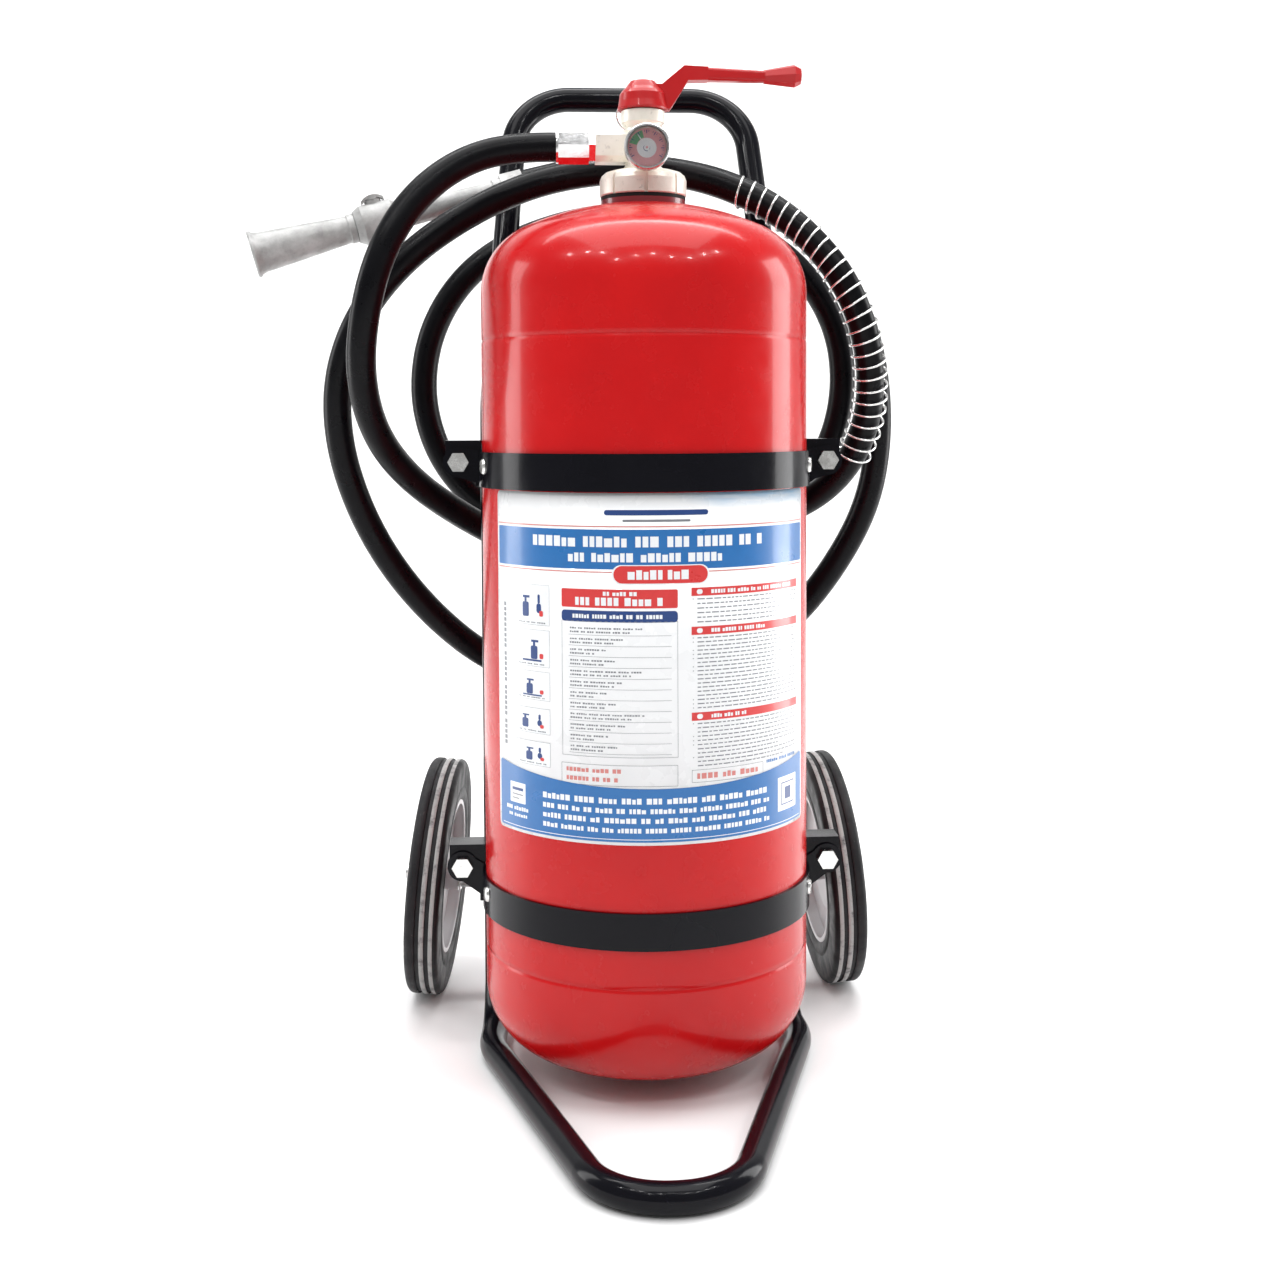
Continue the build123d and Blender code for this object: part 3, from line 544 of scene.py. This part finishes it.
def pictogram(art, top, bottom, kind):
    """A small framed picture of a bottle, a pin, a hose or a flame."""
    left, right = -52.4, -36.8
    art.shape(left, right, bottom, top, "white", 1, 1.2)
    art.frame(left, right, bottom, top, "grey", 0.22, 2)
    mid = (left + right) / 2
    height = top - bottom
    tilt = (-2.6, 1.2, -1.0, -3.2, -1.4)[kind]
    base = bottom + height * 0.20
    art.shape(mid + tilt - 1.5, mid + tilt + 1.5, base, base + height * 0.36, "navy", 3, 1.6)
    art.shape(mid + tilt - 0.5, mid + tilt + 0.5, base + height * 0.34, base + height * 0.46, "navy", 3)
    art.shape(mid + tilt - 1.3, mid + tilt + 1.9, base + height * 0.46, base + height * 0.52, "navy", 3)
    if kind in (0, 3, 4):
        art.shape(mid + 2.4, mid + 4.4, base + height * 0.10, base + height * 0.34, "navy", 3, 2.4)
        art.shape(mid + 2.9, mid + 3.9, base + height * 0.34, base + height * 0.56, "navy", 3, 1.2)
    else:
        art.shape(mid - 4.2, mid + 4.4, base - height * 0.06, base - height * 0.01, "navy", 3)
    art.shape(mid + 3.6, mid + 5.2, base + height * 0.02, base + height * 0.16, "red", 4, 1.2)
    art.words(left + 1.6, right - 1.6, bottom + 1.6, bottom + 2.6, "grey", 3, 0.6, 0.7, 0.15, 40 + kind)


def label_art():
    art = Print()
    edge = 1.1
    left, right = LABEL_LEFT + edge, LABEL_RIGHT - edge
    # title band
    art.shape(left, right, 475.5, 509.0, "blue", 1, 1.5)
    art.shape(left, right, 511.0, 512.0, "pink", 1)
    art.shape(left, right, 472.6, 473.6, "pink", 1)
    # two plain bars in the white strip
    art.shape(-17.0, 17.0, 521.0, 525.5, "navy", 1, 2.2)
    art.shape(-11.0, 11.0, 515.5, 517.5, "grey", 1, 1.0)
    art.words(-43.5, 39.0, 494.2, 503.2, "white", 3, 2.4, 2.2, 0.6, 5)
    art.words(-29.5, 25.0, 481.6, 489.2, "white", 3, 2.1, 2.0, 0.5, 8)
    # pill
    art.shape(-14.6, 17.4, 462.9, 479.3, "white", 2, 8.2)
    art.shape(-14.0, 16.8, 463.7, 478.5, "red", 3, 7.4)
    art.words(-9.4, 12.6, 467.0, 475.0, "white", 4, 2.1, 1.2, 0.5, 11)
    # left column
    for kind, (top, bottom) in enumerate(((460, 425), (421, 389), (385, 360), (353, 331), (324, 303))):
        pictogram(art, top, bottom, kind)
    row = 442.0
    while row > 316.0:
        art.shape(-59.4, -57.9, row - 3.4, row, "grey", 1)
        row -= 4.6 if int(row) % 5 else 7.0
    # centre column
    art.shape(-32.0, 6.7, 442.8, 458.6, "red", 1, 1.4)
    art.words(-17.5, -6.5, 453.2, 456.6, "white", 2, 1.0, 0.8, 0.3, 14)
    art.words(-27.0, 2.0, 444.8, 451.6, "white", 2, 1.9, 1.5, 0.5, 15)
    art.shape(-32.0, 6.7, 430.8, 440.4, "navy", 1, 3.0)
    art.words(-28.0, 2.0, 433.8, 437.2, "white", 2, 0.9, 0.9, 0.25, 17)
    art.frame(-32.0, 6.7, 316.0, 431.5, "grey", 0.35)
    rows = 12
    pitch = (428.0 - 318.0) / rows
    for k in range(rows):
        top = 428.0 - pitch * k
        art.shape(-29.5, 4.6, top - pitch + 0.6, top - pitch + 0.9, "grey", 1)
        reach = (-4.0, -10.0, -16.0, -13.0)[k % 4]
        art.words(-29.0, reach, top - 3.4, top - 2.0, "grey", 1, 0.7, 0.6, 0.2, 20 + k)
        art.words(-29.0, reach - 4, top - 6.6, top - 5.2, "grey", 1, 0.7, 0.6, 0.2, 60 + k)
    art.frame(-32.4, 6.6, 291.5, 309.5, "grey", 0.35)
    art.words(-30.6, -10.0, 302.5, 306.0, "pink", 1, 1.1, 1.0, 0.3, 33)
    art.words(-30.6, -12.0, 295.0, 298.5, "pink", 1, 1.1, 1.0, 0.3, 34)
    # right column
    for k, top in enumerate((459.5, 426.5, 353.5)):
        art.shape(11.2, 59.8, top - 7.0, top, "red", 1)
        art.shape(13.0, 15.0, top - 5.6, top - 1.4, "white", 2, 2.0)
        art.words(18.0, (55.0, 40.0, 32.0)[k], top - 5.2, top - 1.9, "white", 2, 0.9, 0.7, 0.25, 50 + k)
    art.paragraph(11.6, 59.4, 450.5, 428.5, 3.9, "grey", 71)
    art.paragraph(11.6, 59.4, 417.5, 355.5, 3.5, "grey", 72)
    art.paragraph(11.6, 59.4, 344.5, 306.5, 3.6, "grey", 73)
    art.frame(11.2, 38.8, 293.6, 304.5, "grey", 0.35)
    art.words(13.0, 37.0, 296.6, 301.4, "pink", 1, 1.5, 1.4, 0.5, 36)
    art.words(40.5, 59.0, 302.4, 305.0, "blue", 1, 0.8, 0.7, 0.25, 37)
    # bottom band
    art.shape(left, right, LABEL_LOW + 2.6, band_top, "blue", 2, 3.0)
    art.shape(left + 1.5, right - 1.5, LABEL_LOW + 4.6, LABEL_LOW + 5.2, "white", 3)
    art.words(-40.0, 42.0, 276.5, 281.5, "white", 3, 1.5, 1.3, 0.4, 81)
    art.words(-40.0, 42.0, 268.3, 272.5, "white", 3, 1.2, 1.1, 0.35, 82)
    art.words(-40.0, 42.0, 260.0, 264.4, "white", 3, 1.4, 1.2, 0.4, 83)
    art.words(-40.0, 42.0, 251.8, 255.8, "white", 3, 1.2, 1.1, 0.35, 84)
    art.shape(-56.2, -48.0, 266.5, 284.5, "white", 3, 0.8)
    art.shape(-55.0, -49.2, 277.5, 280.0, "navy", 4)
    art.shape(-55.0, -49.2, 273.5, 274.5, "grey", 4)
    art.shape(-55.0, -51.2, 270.0, 271.0, "grey", 4)
    art.words(-58.5, -45.0, 260.0, 263.4, "white", 3, 1.1, 0.8, 0.3, 85)
    art.words(-57.0, -46.5, 254.4, 257.0, "white", 3, 0.9, 0.8, 0.3, 86)
    art.shape(46.6, 59.0, 256.0, 286.0, "white", 3, 0.8)
    art.frame(48.6, 57.0, 261.0, 281.0, "navy", 1.0, 4)
    art.shape(50.8, 54.8, 265.6, 276.4, "navy", 4, 1.0)
    piece = art.piece("label_art")


label_sheet()
label_art()


# ---- hose and spring ----
# The hose's route about the vessel's axis, in metres.
HOSE_ROUTE = [
    (-0.080, 0.000, 0.851), (-0.124, 0.000, 0.851), (-0.171, -0.008, 0.834),
    (-0.209, -0.022, 0.801), (-0.236, -0.034, 0.756), (-0.252, -0.034, 0.703),
    (-0.260, -0.014, 0.645), (-0.252, 0.022, 0.592), (-0.226, 0.068, 0.548),
    (-0.180, 0.118, 0.509), (-0.118, 0.157, 0.472), (-0.047, 0.180, 0.445),
    (0.028, 0.193, 0.437), (0.102, 0.199, 0.454), (0.164, 0.200, 0.497),
    (0.204, 0.198, 0.555), (0.225, 0.196, 0.616), (0.223, 0.195, 0.682),
    (0.198, 0.195, 0.737), (0.157, 0.195, 0.780), (0.099, 0.196, 0.807),
    (0.030, 0.198, 0.817), (-0.050, 0.197, 0.812), (-0.125, 0.196, 0.787),
    (-0.175, 0.195, 0.750), (-0.208, 0.195, 0.697), (-0.219, 0.195, 0.636),
    (-0.208, 0.196, 0.579), (-0.180, 0.197, 0.533), (-0.139, 0.196, 0.502),
    (-0.082, 0.191, 0.488), (-0.008, 0.178, 0.486), (0.060, 0.164, 0.490),
    (0.118, 0.142, 0.497), (0.168, 0.120, 0.513), (0.205, 0.094, 0.546),
    (0.223, 0.068, 0.592), (0.224, 0.045, 0.645), (0.209, 0.030, 0.703),
    (0.180, 0.036, 0.757), (0.134, 0.054, 0.802), (0.075, 0.070, 0.832),
    (0.015, 0.078, 0.844), (-0.045, 0.076, 0.841), (-0.105, 0.068, 0.827),
    (-0.165, 0.060, 0.798), (-0.222, 0.054, 0.757), (-0.266, 0.056, 0.705),
    (-0.290, 0.066, 0.645), (-0.292, 0.084, 0.582), (-0.276, 0.103, 0.518),
    (-0.247, 0.122, 0.458), (-0.206, 0.140, 0.404), (-0.155, 0.160, 0.358),
    (-0.092, 0.180, 0.328), (-0.020, 0.192, 0.315), (0.053, 0.197, 0.322),
    (0.120, 0.196, 0.350), (0.175, 0.193, 0.393), (0.218, 0.187, 0.450),
    (0.248, 0.176, 0.512), (0.257, 0.163, 0.580), (0.250, 0.147, 0.650),
    (0.229, 0.132, 0.714), (0.194, 0.121, 0.768), (0.146, 0.115, 0.810),
    (0.090, 0.113, 0.837), (0.034, 0.115, 0.849), (-0.020, 0.112, 0.852),
    (-0.069, 0.106, 0.844), (-0.111, 0.100, 0.832),
]
HOSE_D = 0.027
SPRING_FROM = (35, 36)      # the guard runs between the middles of these pairs of route points
SPRING_TO = (40, 41)
SPRING_BEFORE = 0.012       # and this far past each middle
SPRING_AFTER = 0.014
SPRING_TURNS = 27
SPRING_R = 0.0149
SPRING_SLACK = 0.0022       # looser by this much at its lower end
WIRE_R = 0.00105


def spline_curve(name, route, bevel):
    curve = bpy.data.curves.new(name, "CURVE")
    curve.dimensions = "3D"
    spline = curve.splines.new("NURBS")
    spline.points.add(len(route) - 1)
    for point, place in zip(spline.points, route):
        point.co = (*at_axis(*place), 1.0)
    spline.order_u = 3
    spline.use_endpoint_u = True
    spline.resolution_u = 12
    curve.bevel_depth = bevel
    curve.bevel_resolution = 8
    return curve


def spline_points(route):
    """Points along the route's own spline, from Blender's evaluation of it."""
    bare = bpy.data.objects.new("bare_route", spline_curve("bare_route", route, 0.0))
    bpy.context.scene.collection.objects.link(bare)
    bpy.context.view_layer.update()
    mesh = bpy.data.meshes.new_from_object(bare)
    points = [v.co.copy() for v in mesh.vertices]
    bpy.data.objects.remove(bare)
    bpy.data.meshes.remove(mesh)
    return points


def lengths_along(points):
    total, made = 0.0, [0.0]
    for a, b in zip(points, points[1:]):
        total += (b - a).length
        made.append(total)
    return made


hose_line = spline_points(HOSE_ROUTE)
hose_lengths = lengths_along(hose_line)


def nearest_length(point):
    best = min(range(len(hose_line)), key=lambda k: (hose_line[k] - point).length)
    return hose_lengths[best]


def frames_along(points, start, end, step):
    """Places every step along the line, each with two steady side directions."""
    lengths = lengths_along(points)
    made = []
    side = None
    k = 0
    count = max(2, int((end - start) / step))
    for i in range(count + 1):
        wanted = start + (end - start) * i / count
        while k < len(lengths) - 2 and lengths[k + 1] < wanted:
            k += 1
        part = (wanted - lengths[k]) / max(1e-9, lengths[k + 1] - lengths[k])
        place = points[k].lerp(points[k + 1], part)
        before, after = points[max(0, k - 1)], points[min(len(points) - 1, k + 2)]
        along = (after - before).normalized()
        if side is None:
            side = along.orthogonal().normalized()
        side = (side - along * side.dot(along)).normalized()
        made.append((place, side.copy(), along.cross(side), wanted))
    return made


def tube_mesh(name, path, radius, sides=10):
    """A closed round wire along the path of points."""
    rings, points, faces = [], [], []
    side = None
    for k, here in enumerate(path):
        before, after = path[max(0, k - 1)], path[min(len(path) - 1, k + 1)]
        along = (after - before).normalized()
        if side is None:
            side = along.orthogonal().normalized()
        side = (side - along * side.dot(along)).normalized()
        other = along.cross(side)
        rings.append([len(points) + n for n in range(sides)])
        for n in range(sides):
            angle = 2 * pi * n / sides
            points.append(here + side * radius * cos(angle) + other * radius * sin(angle))
    for low, high in zip(rings, rings[1:]):
        for n in range(sides):
            m = (n + 1) % sides
            faces.append((low[n], low[m], high[m], high[n]))
    faces.append(tuple(reversed(rings[0])))
    faces.append(tuple(rings[-1]))
    return mesh_of(name, points, faces)


def spring_guard():
    """Open steel wire coil round the hose, looser towards its lower end."""
    ends = []
    for pair in (SPRING_FROM, SPRING_TO):
        ends.append(nearest_length((at_axis(*HOSE_ROUTE[pair[0]]) + at_axis(*HOSE_ROUTE[pair[1]])) / 2))
    start, end = ends[0] - SPRING_BEFORE, ends[1] + SPRING_AFTER
    path = []
    for place, side, other, wanted in frames_along(hose_line, start, end, 0.0006):
        part = (wanted - start) / (end - start)
        angle = 2 * pi * SPRING_TURNS * part
        slack = 1 - part
        radius = SPRING_R + SPRING_SLACK * slack ** 2
        lean = 0.0010 * slack * sin(9 * part)
        path.append(place + side * (radius * cos(angle) + lean) + other * radius * sin(angle))
    spring = new_piece("spring_wire", tube_mesh("spring_wire", path, WIRE_R), SPRING_STEEL)
    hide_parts("spring_guard")
    return spring


def hose():
    """The hose as a real curve with a round section."""
    curve = spline_curve("hose_tube", HOSE_ROUTE, HOSE_D / 2)
    curve.materials.append(HOSE)
    piece = bpy.data.objects.new("hose_tube", curve)
    bpy.context.scene.collection.objects.link(piece)
    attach(piece, "frame")
    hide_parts("hose")
    return piece


BARREL_LOW = 0.168          # along the nozzle from the hose's end
BARREL_MOUTH = 0.269


def nozzle_barrel():
    """Cast barrel: collar, swelling cone and a rolled bead round the mouth."""
    end, before = at_axis(*HOSE_ROUTE[-1]), at_axis(*HOSE_ROUTE[-2])
    along = (end - before).normalized()
    place = Matrix.Translation(end) @ along.to_track_quat("Z", "Y").to_matrix().to_4x4()
    low, mouth = BARREL_LOW, BARREL_MOUTH
    outline = [(0.0080, low), (0.0134, low), (0.0140, low + 0.0006), (0.0140, low + 0.0064),
               (0.0134, low + 0.0070), (0.0130, low + 0.0078), (0.0136, low + 0.016), (0.0152, low + 0.036),
               (0.0168, low + 0.058), (0.0182, low + 0.078), (0.0190, mouth - 0.010), (0.0202, mouth - 0.005)]
    outline += arc((0.0205, mouth - 0.0020), 0.0020, -50, 130, 10)
    outline += [(0.0186, mouth - 0.004), (0.0166, mouth - 0.012),
                (0.0120, low + 0.045), (0.0090, low + 0.012)]
    piece = new_piece("nozzle_barrel_cast", lathe("nozzle_barrel_cast", outline, 96, place, loop=True), CAST)
    piece.data.set_sharp_from_angle(angle=radians(40))
    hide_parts("nozzle_barrel")
    return piece


hose_piece = hose()
on_hose = [spring_guard(), nozzle_barrel()] + [nodes[n] for n in (
    "nozzle_coupling", "nozzle_tube", "nozzle_valve_body", "nozzle_ball", "nozzle_lever")]


# ---- wheels ----
WHEEL_R = 0.1215
TYRE_HALF = 0.017
TYRE_CORNER = 0.006
RIM_R = 0.079
CAMBER = 4.6
TOE = {"left": 5.0, "right": 2.0}
GROOVES = ((-0.0080, -0.0035), (0.0015, 0.0060))
GROOVE_DEPTH = 0.002
RIBS = ((-0.0125, -0.008), (-0.0035, 0.0015))   # the worn, pale parts of the tread
TREAD_HALF = 0.0110


def wheel_place(name):
    """The wheel's own frame: Z runs out along its axle."""
    side = -1 if name == "left" else 1
    lift, back = radians(CAMBER), radians(TOE[name])
    out = Vector((side * cos(lift) * cos(back), cos(lift) * sin(back), sin(lift)))
    low_corner, high_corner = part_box("tyre_" + name)
    across = out.cross(Vector((0, 0, 1))).normalized()
    turn = Matrix((across, out.cross(across), out)).transposed().to_4x4()
    return Matrix.Translation((Vector(low_corner) + Vector(high_corner)) / 2) @ turn


def tyre_outline():
    """(radius, height) round the tyre's section, with rounded shoulders and grooves."""
    tread = [(-TREAD_HALF, WHEEL_R)]
    floor = WHEEL_R - GROOVE_DEPTH
    for low_z, high_z in GROOVES:
        tread += [(low_z - 0.0004, WHEEL_R), (low_z, WHEEL_R - 0.0004), (low_z + 0.0002, floor),
                  (high_z - 0.0002, floor), (high_z, WHEEL_R - 0.0004), (high_z + 0.0004, WHEEL_R)]
    tread.append((TREAD_HALF, WHEEL_R))
    made = [(RIM_R, -TYRE_HALF + 0.002), (RIM_R + 0.003, -TYRE_HALF + 0.0004), (RIM_R + 0.008, -TYRE_HALF),
            (RIM_R + 0.012, -TYRE_HALF), (RIM_R + 0.0126, -TYRE_HALF + 0.0007),
            (RIM_R + 0.0146, -TYRE_HALF + 0.0007), (RIM_R + 0.0152, -TYRE_HALF)]
    corner = arc((WHEEL_R - TYRE_CORNER, -TYRE_HALF + TYRE_CORNER), TYRE_CORNER, -90, 0, 8)
    made += corner[:-1] + [(radius, z) for z, radius in tread]
    made += [(radius, -z) for radius, z in reversed(made[:7] + corner[:-1])]
    return made


def tyre(name):
    outline = tyre_outline()
    segments = 160
    mesh = lathe("tyre_skin_" + name, outline, segments, wheel_place(name), loop=True)
    piece = new_piece("tyre_skin_" + name, mesh, [TYRE, WORN], "wheel_" + name)
    for number, face in enumerate(mesh.polygons):
        row = number // segments
        middle = (outline[row][1] + outline[(row + 1) % len(outline)][1]) / 2
        top = min(outline[row][0], outline[(row + 1) % len(outline)][0]) > WHEEL_R - 0.003
        if top and any(start <= middle <= end for start, end in RIBS):
            face.material_index = 1
    mesh.set_sharp_from_angle(angle=radians(50))
    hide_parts("tyre_" + name)


tyre("left")
tyre("right")


# ---- gauge dial print ----
DIAL_Y = -0.05
INK_STEP = 0.00002          # each layer of print lies this far in front of the last
DIAL_R = 0.0170
HUB_R = 0.0088
MARK_R = 0.0158


def dial_patch(points, faces, inner, outer, start, end, layer):
    """Part of a flat ring on the dial; angles in degrees, clockwise from the top."""
    steps = max(3, ceil((end - start) / 6))
    first = len(points)
    depth = DIAL_Y - layer * INK_STEP
    for k in range(steps + 1):
        angle = radians(start + (end - start) * k / steps)
        for radius in (inner, outer):
            points.append(at_axis(radius * sin(angle), depth, GAUGE_Z + radius * cos(angle)))
    faces += [(first + 2 * k, first + 2 * k + 1, first + 2 * k + 3, first + 2 * k + 2) for k in range(steps)]


def dial_print():
    points, faces, inks = [], [], []

    def patch(ink, *where):
        dial_patch(points, faces, *where)
        inks.extend([ink] * (len(faces) - len(inks)))

    patch("rose", HUB_R, DIAL_R, 0, 360, 2)
    patch("green", 0.0092, 0.0160, 285, 345, 4)
    patch("white", 0.0004, HUB_R, 0, 360, 3)
    for step in range(-4, 5):
        patch("navy", 0.0128, MARK_R, 30 * step - 1.6, 30 * step + 1.6, 6)
    for step in range(-8, 8):
        patch("navy", 0.0142, MARK_R, 15 * step + 6.7, 15 * step + 8.3, 6)
    patch("navy", 0.0004, 0.0030, 0, 360, 5)
    mesh = mesh_of("dial_face", points, faces)
    piece = new_piece("dial_face", mesh, [INK[n] for n in INK], smooth=False)
    for face, ink in zip(mesh.polygons, inks):
        face.material_index = list(INK).index(ink)


dial_print()


# ---- CAD nodes ----
paint(RED, "cylinder_shell")
paint(NECK_RED, "neck_ring")
paint(POWDER, "powder_charge")
paint(NYLON, "dip_tube", "hub_bush_left", "hub_bush_right")
paint(GASKET, "gasket")
paint(NICKEL, "ring_nut", "valve_body", "bonnet_collar", "gauge_case")
paint(STEEL, "stem_ball", "safety_pin", "nozzle_ball", "stub_axle_left", "stub_axle_right", "gauge_bezel")
paint(LEVER_RED, "lever")
paint(ZINC, "lever_screw", "strap_rivets", "strap_bolts", "strap_washers", "strap_nuts", "pull_ring")
paint(ZINC, "axle_washers_left", "axle_washers_right", "axle_nut_left", "axle_nut_right")
paint(CHROME, "outlet_adaptor", "hose_ferrule")
paint(CAST, "nozzle_coupling", "nozzle_tube", "nozzle_valve_body", "nozzle_lever", "nozzle_barrel")
paint(BLACK, "handle_tube", "foot_tube", "upper_strap", "lower_strap", "upper_lugs", "lower_lugs",
      "rear_saddles", "hose_hook", "axle_beam", "axle_brackets")
paint(SILVER, "rim_left", "rim_right")
paint(TYRE, "tyre_left", "tyre_right")
paint(HOSE, "hose")
paint(SPRING_STEEL, "spring_guard")
paint(FILM, "label")
paint(INK["rose"], "gauge_dial")
paint(INK["white"], "gauge_needle")
paint(glass(), "gauge_lens")

for name in ("handle_tube", "foot_tube", "hose_hook", "tyre_left", "tyre_right"):
    nodes[name].data.shade_smooth()
for name, width in (
        ("upper_strap", 0.0007), ("lower_strap", 0.0007), ("upper_lugs", 0.0008), ("lower_lugs", 0.0008),
        ("strap_bolts", 0.0008), ("strap_nuts", 0.0007), ("ring_nut", 0.0008), ("valve_body", 0.0012),
        ("bonnet_collar", 0.0006), ("strap_rivets", 0.0005),
        ("outlet_adaptor", 0.0008), ("hose_ferrule", 0.0006),
        ("nozzle_coupling", 0.0010), ("nozzle_tube", 0.0006), ("nozzle_valve_body", 0.0015),
        ("nozzle_lever", 0.0008), ("rim_left", 0.0006), ("rim_right", 0.0006),
        ("axle_brackets", 0.0008), ("axle_nut_left", 0.0007), ("axle_nut_right", 0.0007),
        ("gasket", 0.0010), ("neck_ring", 0.0005), ("gauge_bezel", 0.0004), ("gauge_case", 0.0006)):
    soften(name, width)
hard_edges("lever", 38)


# ---- studio ----
def floor_material():
    shade = Shade("studio_floor", (0.86, 0.86, 0.86), 0.55, Specular_IOR_Level=0.25)
    shade.tint(shade.span(shade.noise(3.0, 3.0), 0.3, 0.8, 0.0, 0.3), (0.84, 0.84, 0.85))
    return shade.material


def studio():
    """A pale floor that curves up into a plain backdrop."""
    half, turn, back = 9.0, 1.6, 2.4
    line = [(-9.0, 0.0), (-3.0, 0.0), (back - 1.0, 0.0)]
    line += [(back + turn * sin(radians(a)), turn * (1 - cos(radians(a)))) for a in range(0, 91, 5)]
    line.append((back + turn, 7.0))
    points = [(x, y, z) for y, z in line for x in (-half, half)]
    faces = [(2 * k, 2 * k + 1, 2 * k + 3, 2 * k + 2) for k in range(len(line) - 1)]
    mesh = mesh_of("studio_floor", points, faces)
    mesh.shade_smooth()
    floor = bpy.data.objects.new("studio_floor", mesh)
    mesh.materials.append(floor_material())
    bpy.context.scene.collection.objects.link(floor)


def softbox(name, place, target, size, power):
    data = bpy.data.lights.new(name, "AREA")
    data.shape = "RECTANGLE"
    data.size, data.size_y = size
    data.energy = power
    lamp = bpy.data.objects.new(name, data)
    bpy.context.scene.collection.objects.link(lamp)
    lamp.location = place
    lamp.rotation_euler = (Vector(target) - Vector(place)).to_track_quat("-Z", "Y").to_euler()


HALL_LAMPS = 10
HALL_LAMP_SIZE = 0.13
HALL_LAMP_POWER = 5.0
WORLD_STRENGTH = 0.36


def lights():
    world = bpy.data.worlds.new("studio_world")
    bpy.context.scene.world = world
    world.use_nodes = True
    back = world.node_tree.nodes["Background"]
    back.inputs["Color"].default_value = (1.0, 1.0, 1.0, 1.0)
    back.inputs["Strength"].default_value = WORLD_STRENGTH
    softbox("ceiling_box", (0.0, -0.2, 3.6), (0, 0, 0), (3.4, 3.0), 112)
    softbox("backdrop_box", (0.0, 0.9, 3.2), (0, 4.0, 1.0), (4.0, 1.0), 130)
    softbox("left_strip", (-1.75, 0.42, 0.75), (0, 0, 0.55), (0.55, 1.7), 16)
    softbox("right_strip", (1.75, 0.42, 0.75), (0, 0, 0.55), (0.7, 1.7), 24)
    # a row of small hall lamps, for the points of light on the dome
    draw = random.Random(9)
    for k in range(HALL_LAMPS):
        across = radians(-66 + 14 * k)
        reach = draw.uniform(2.1, 2.8)
        place = (reach * sin(across), -reach * cos(across), draw.uniform(2.7, 3.1))
        softbox("hall_lamp_%d" % k, place, (0, 0, 0.6), (HALL_LAMP_SIZE, HALL_LAMP_SIZE), HALL_LAMP_POWER)


studio()
lights()
bpy.context.scene.view_settings.view_transform = "Standard"
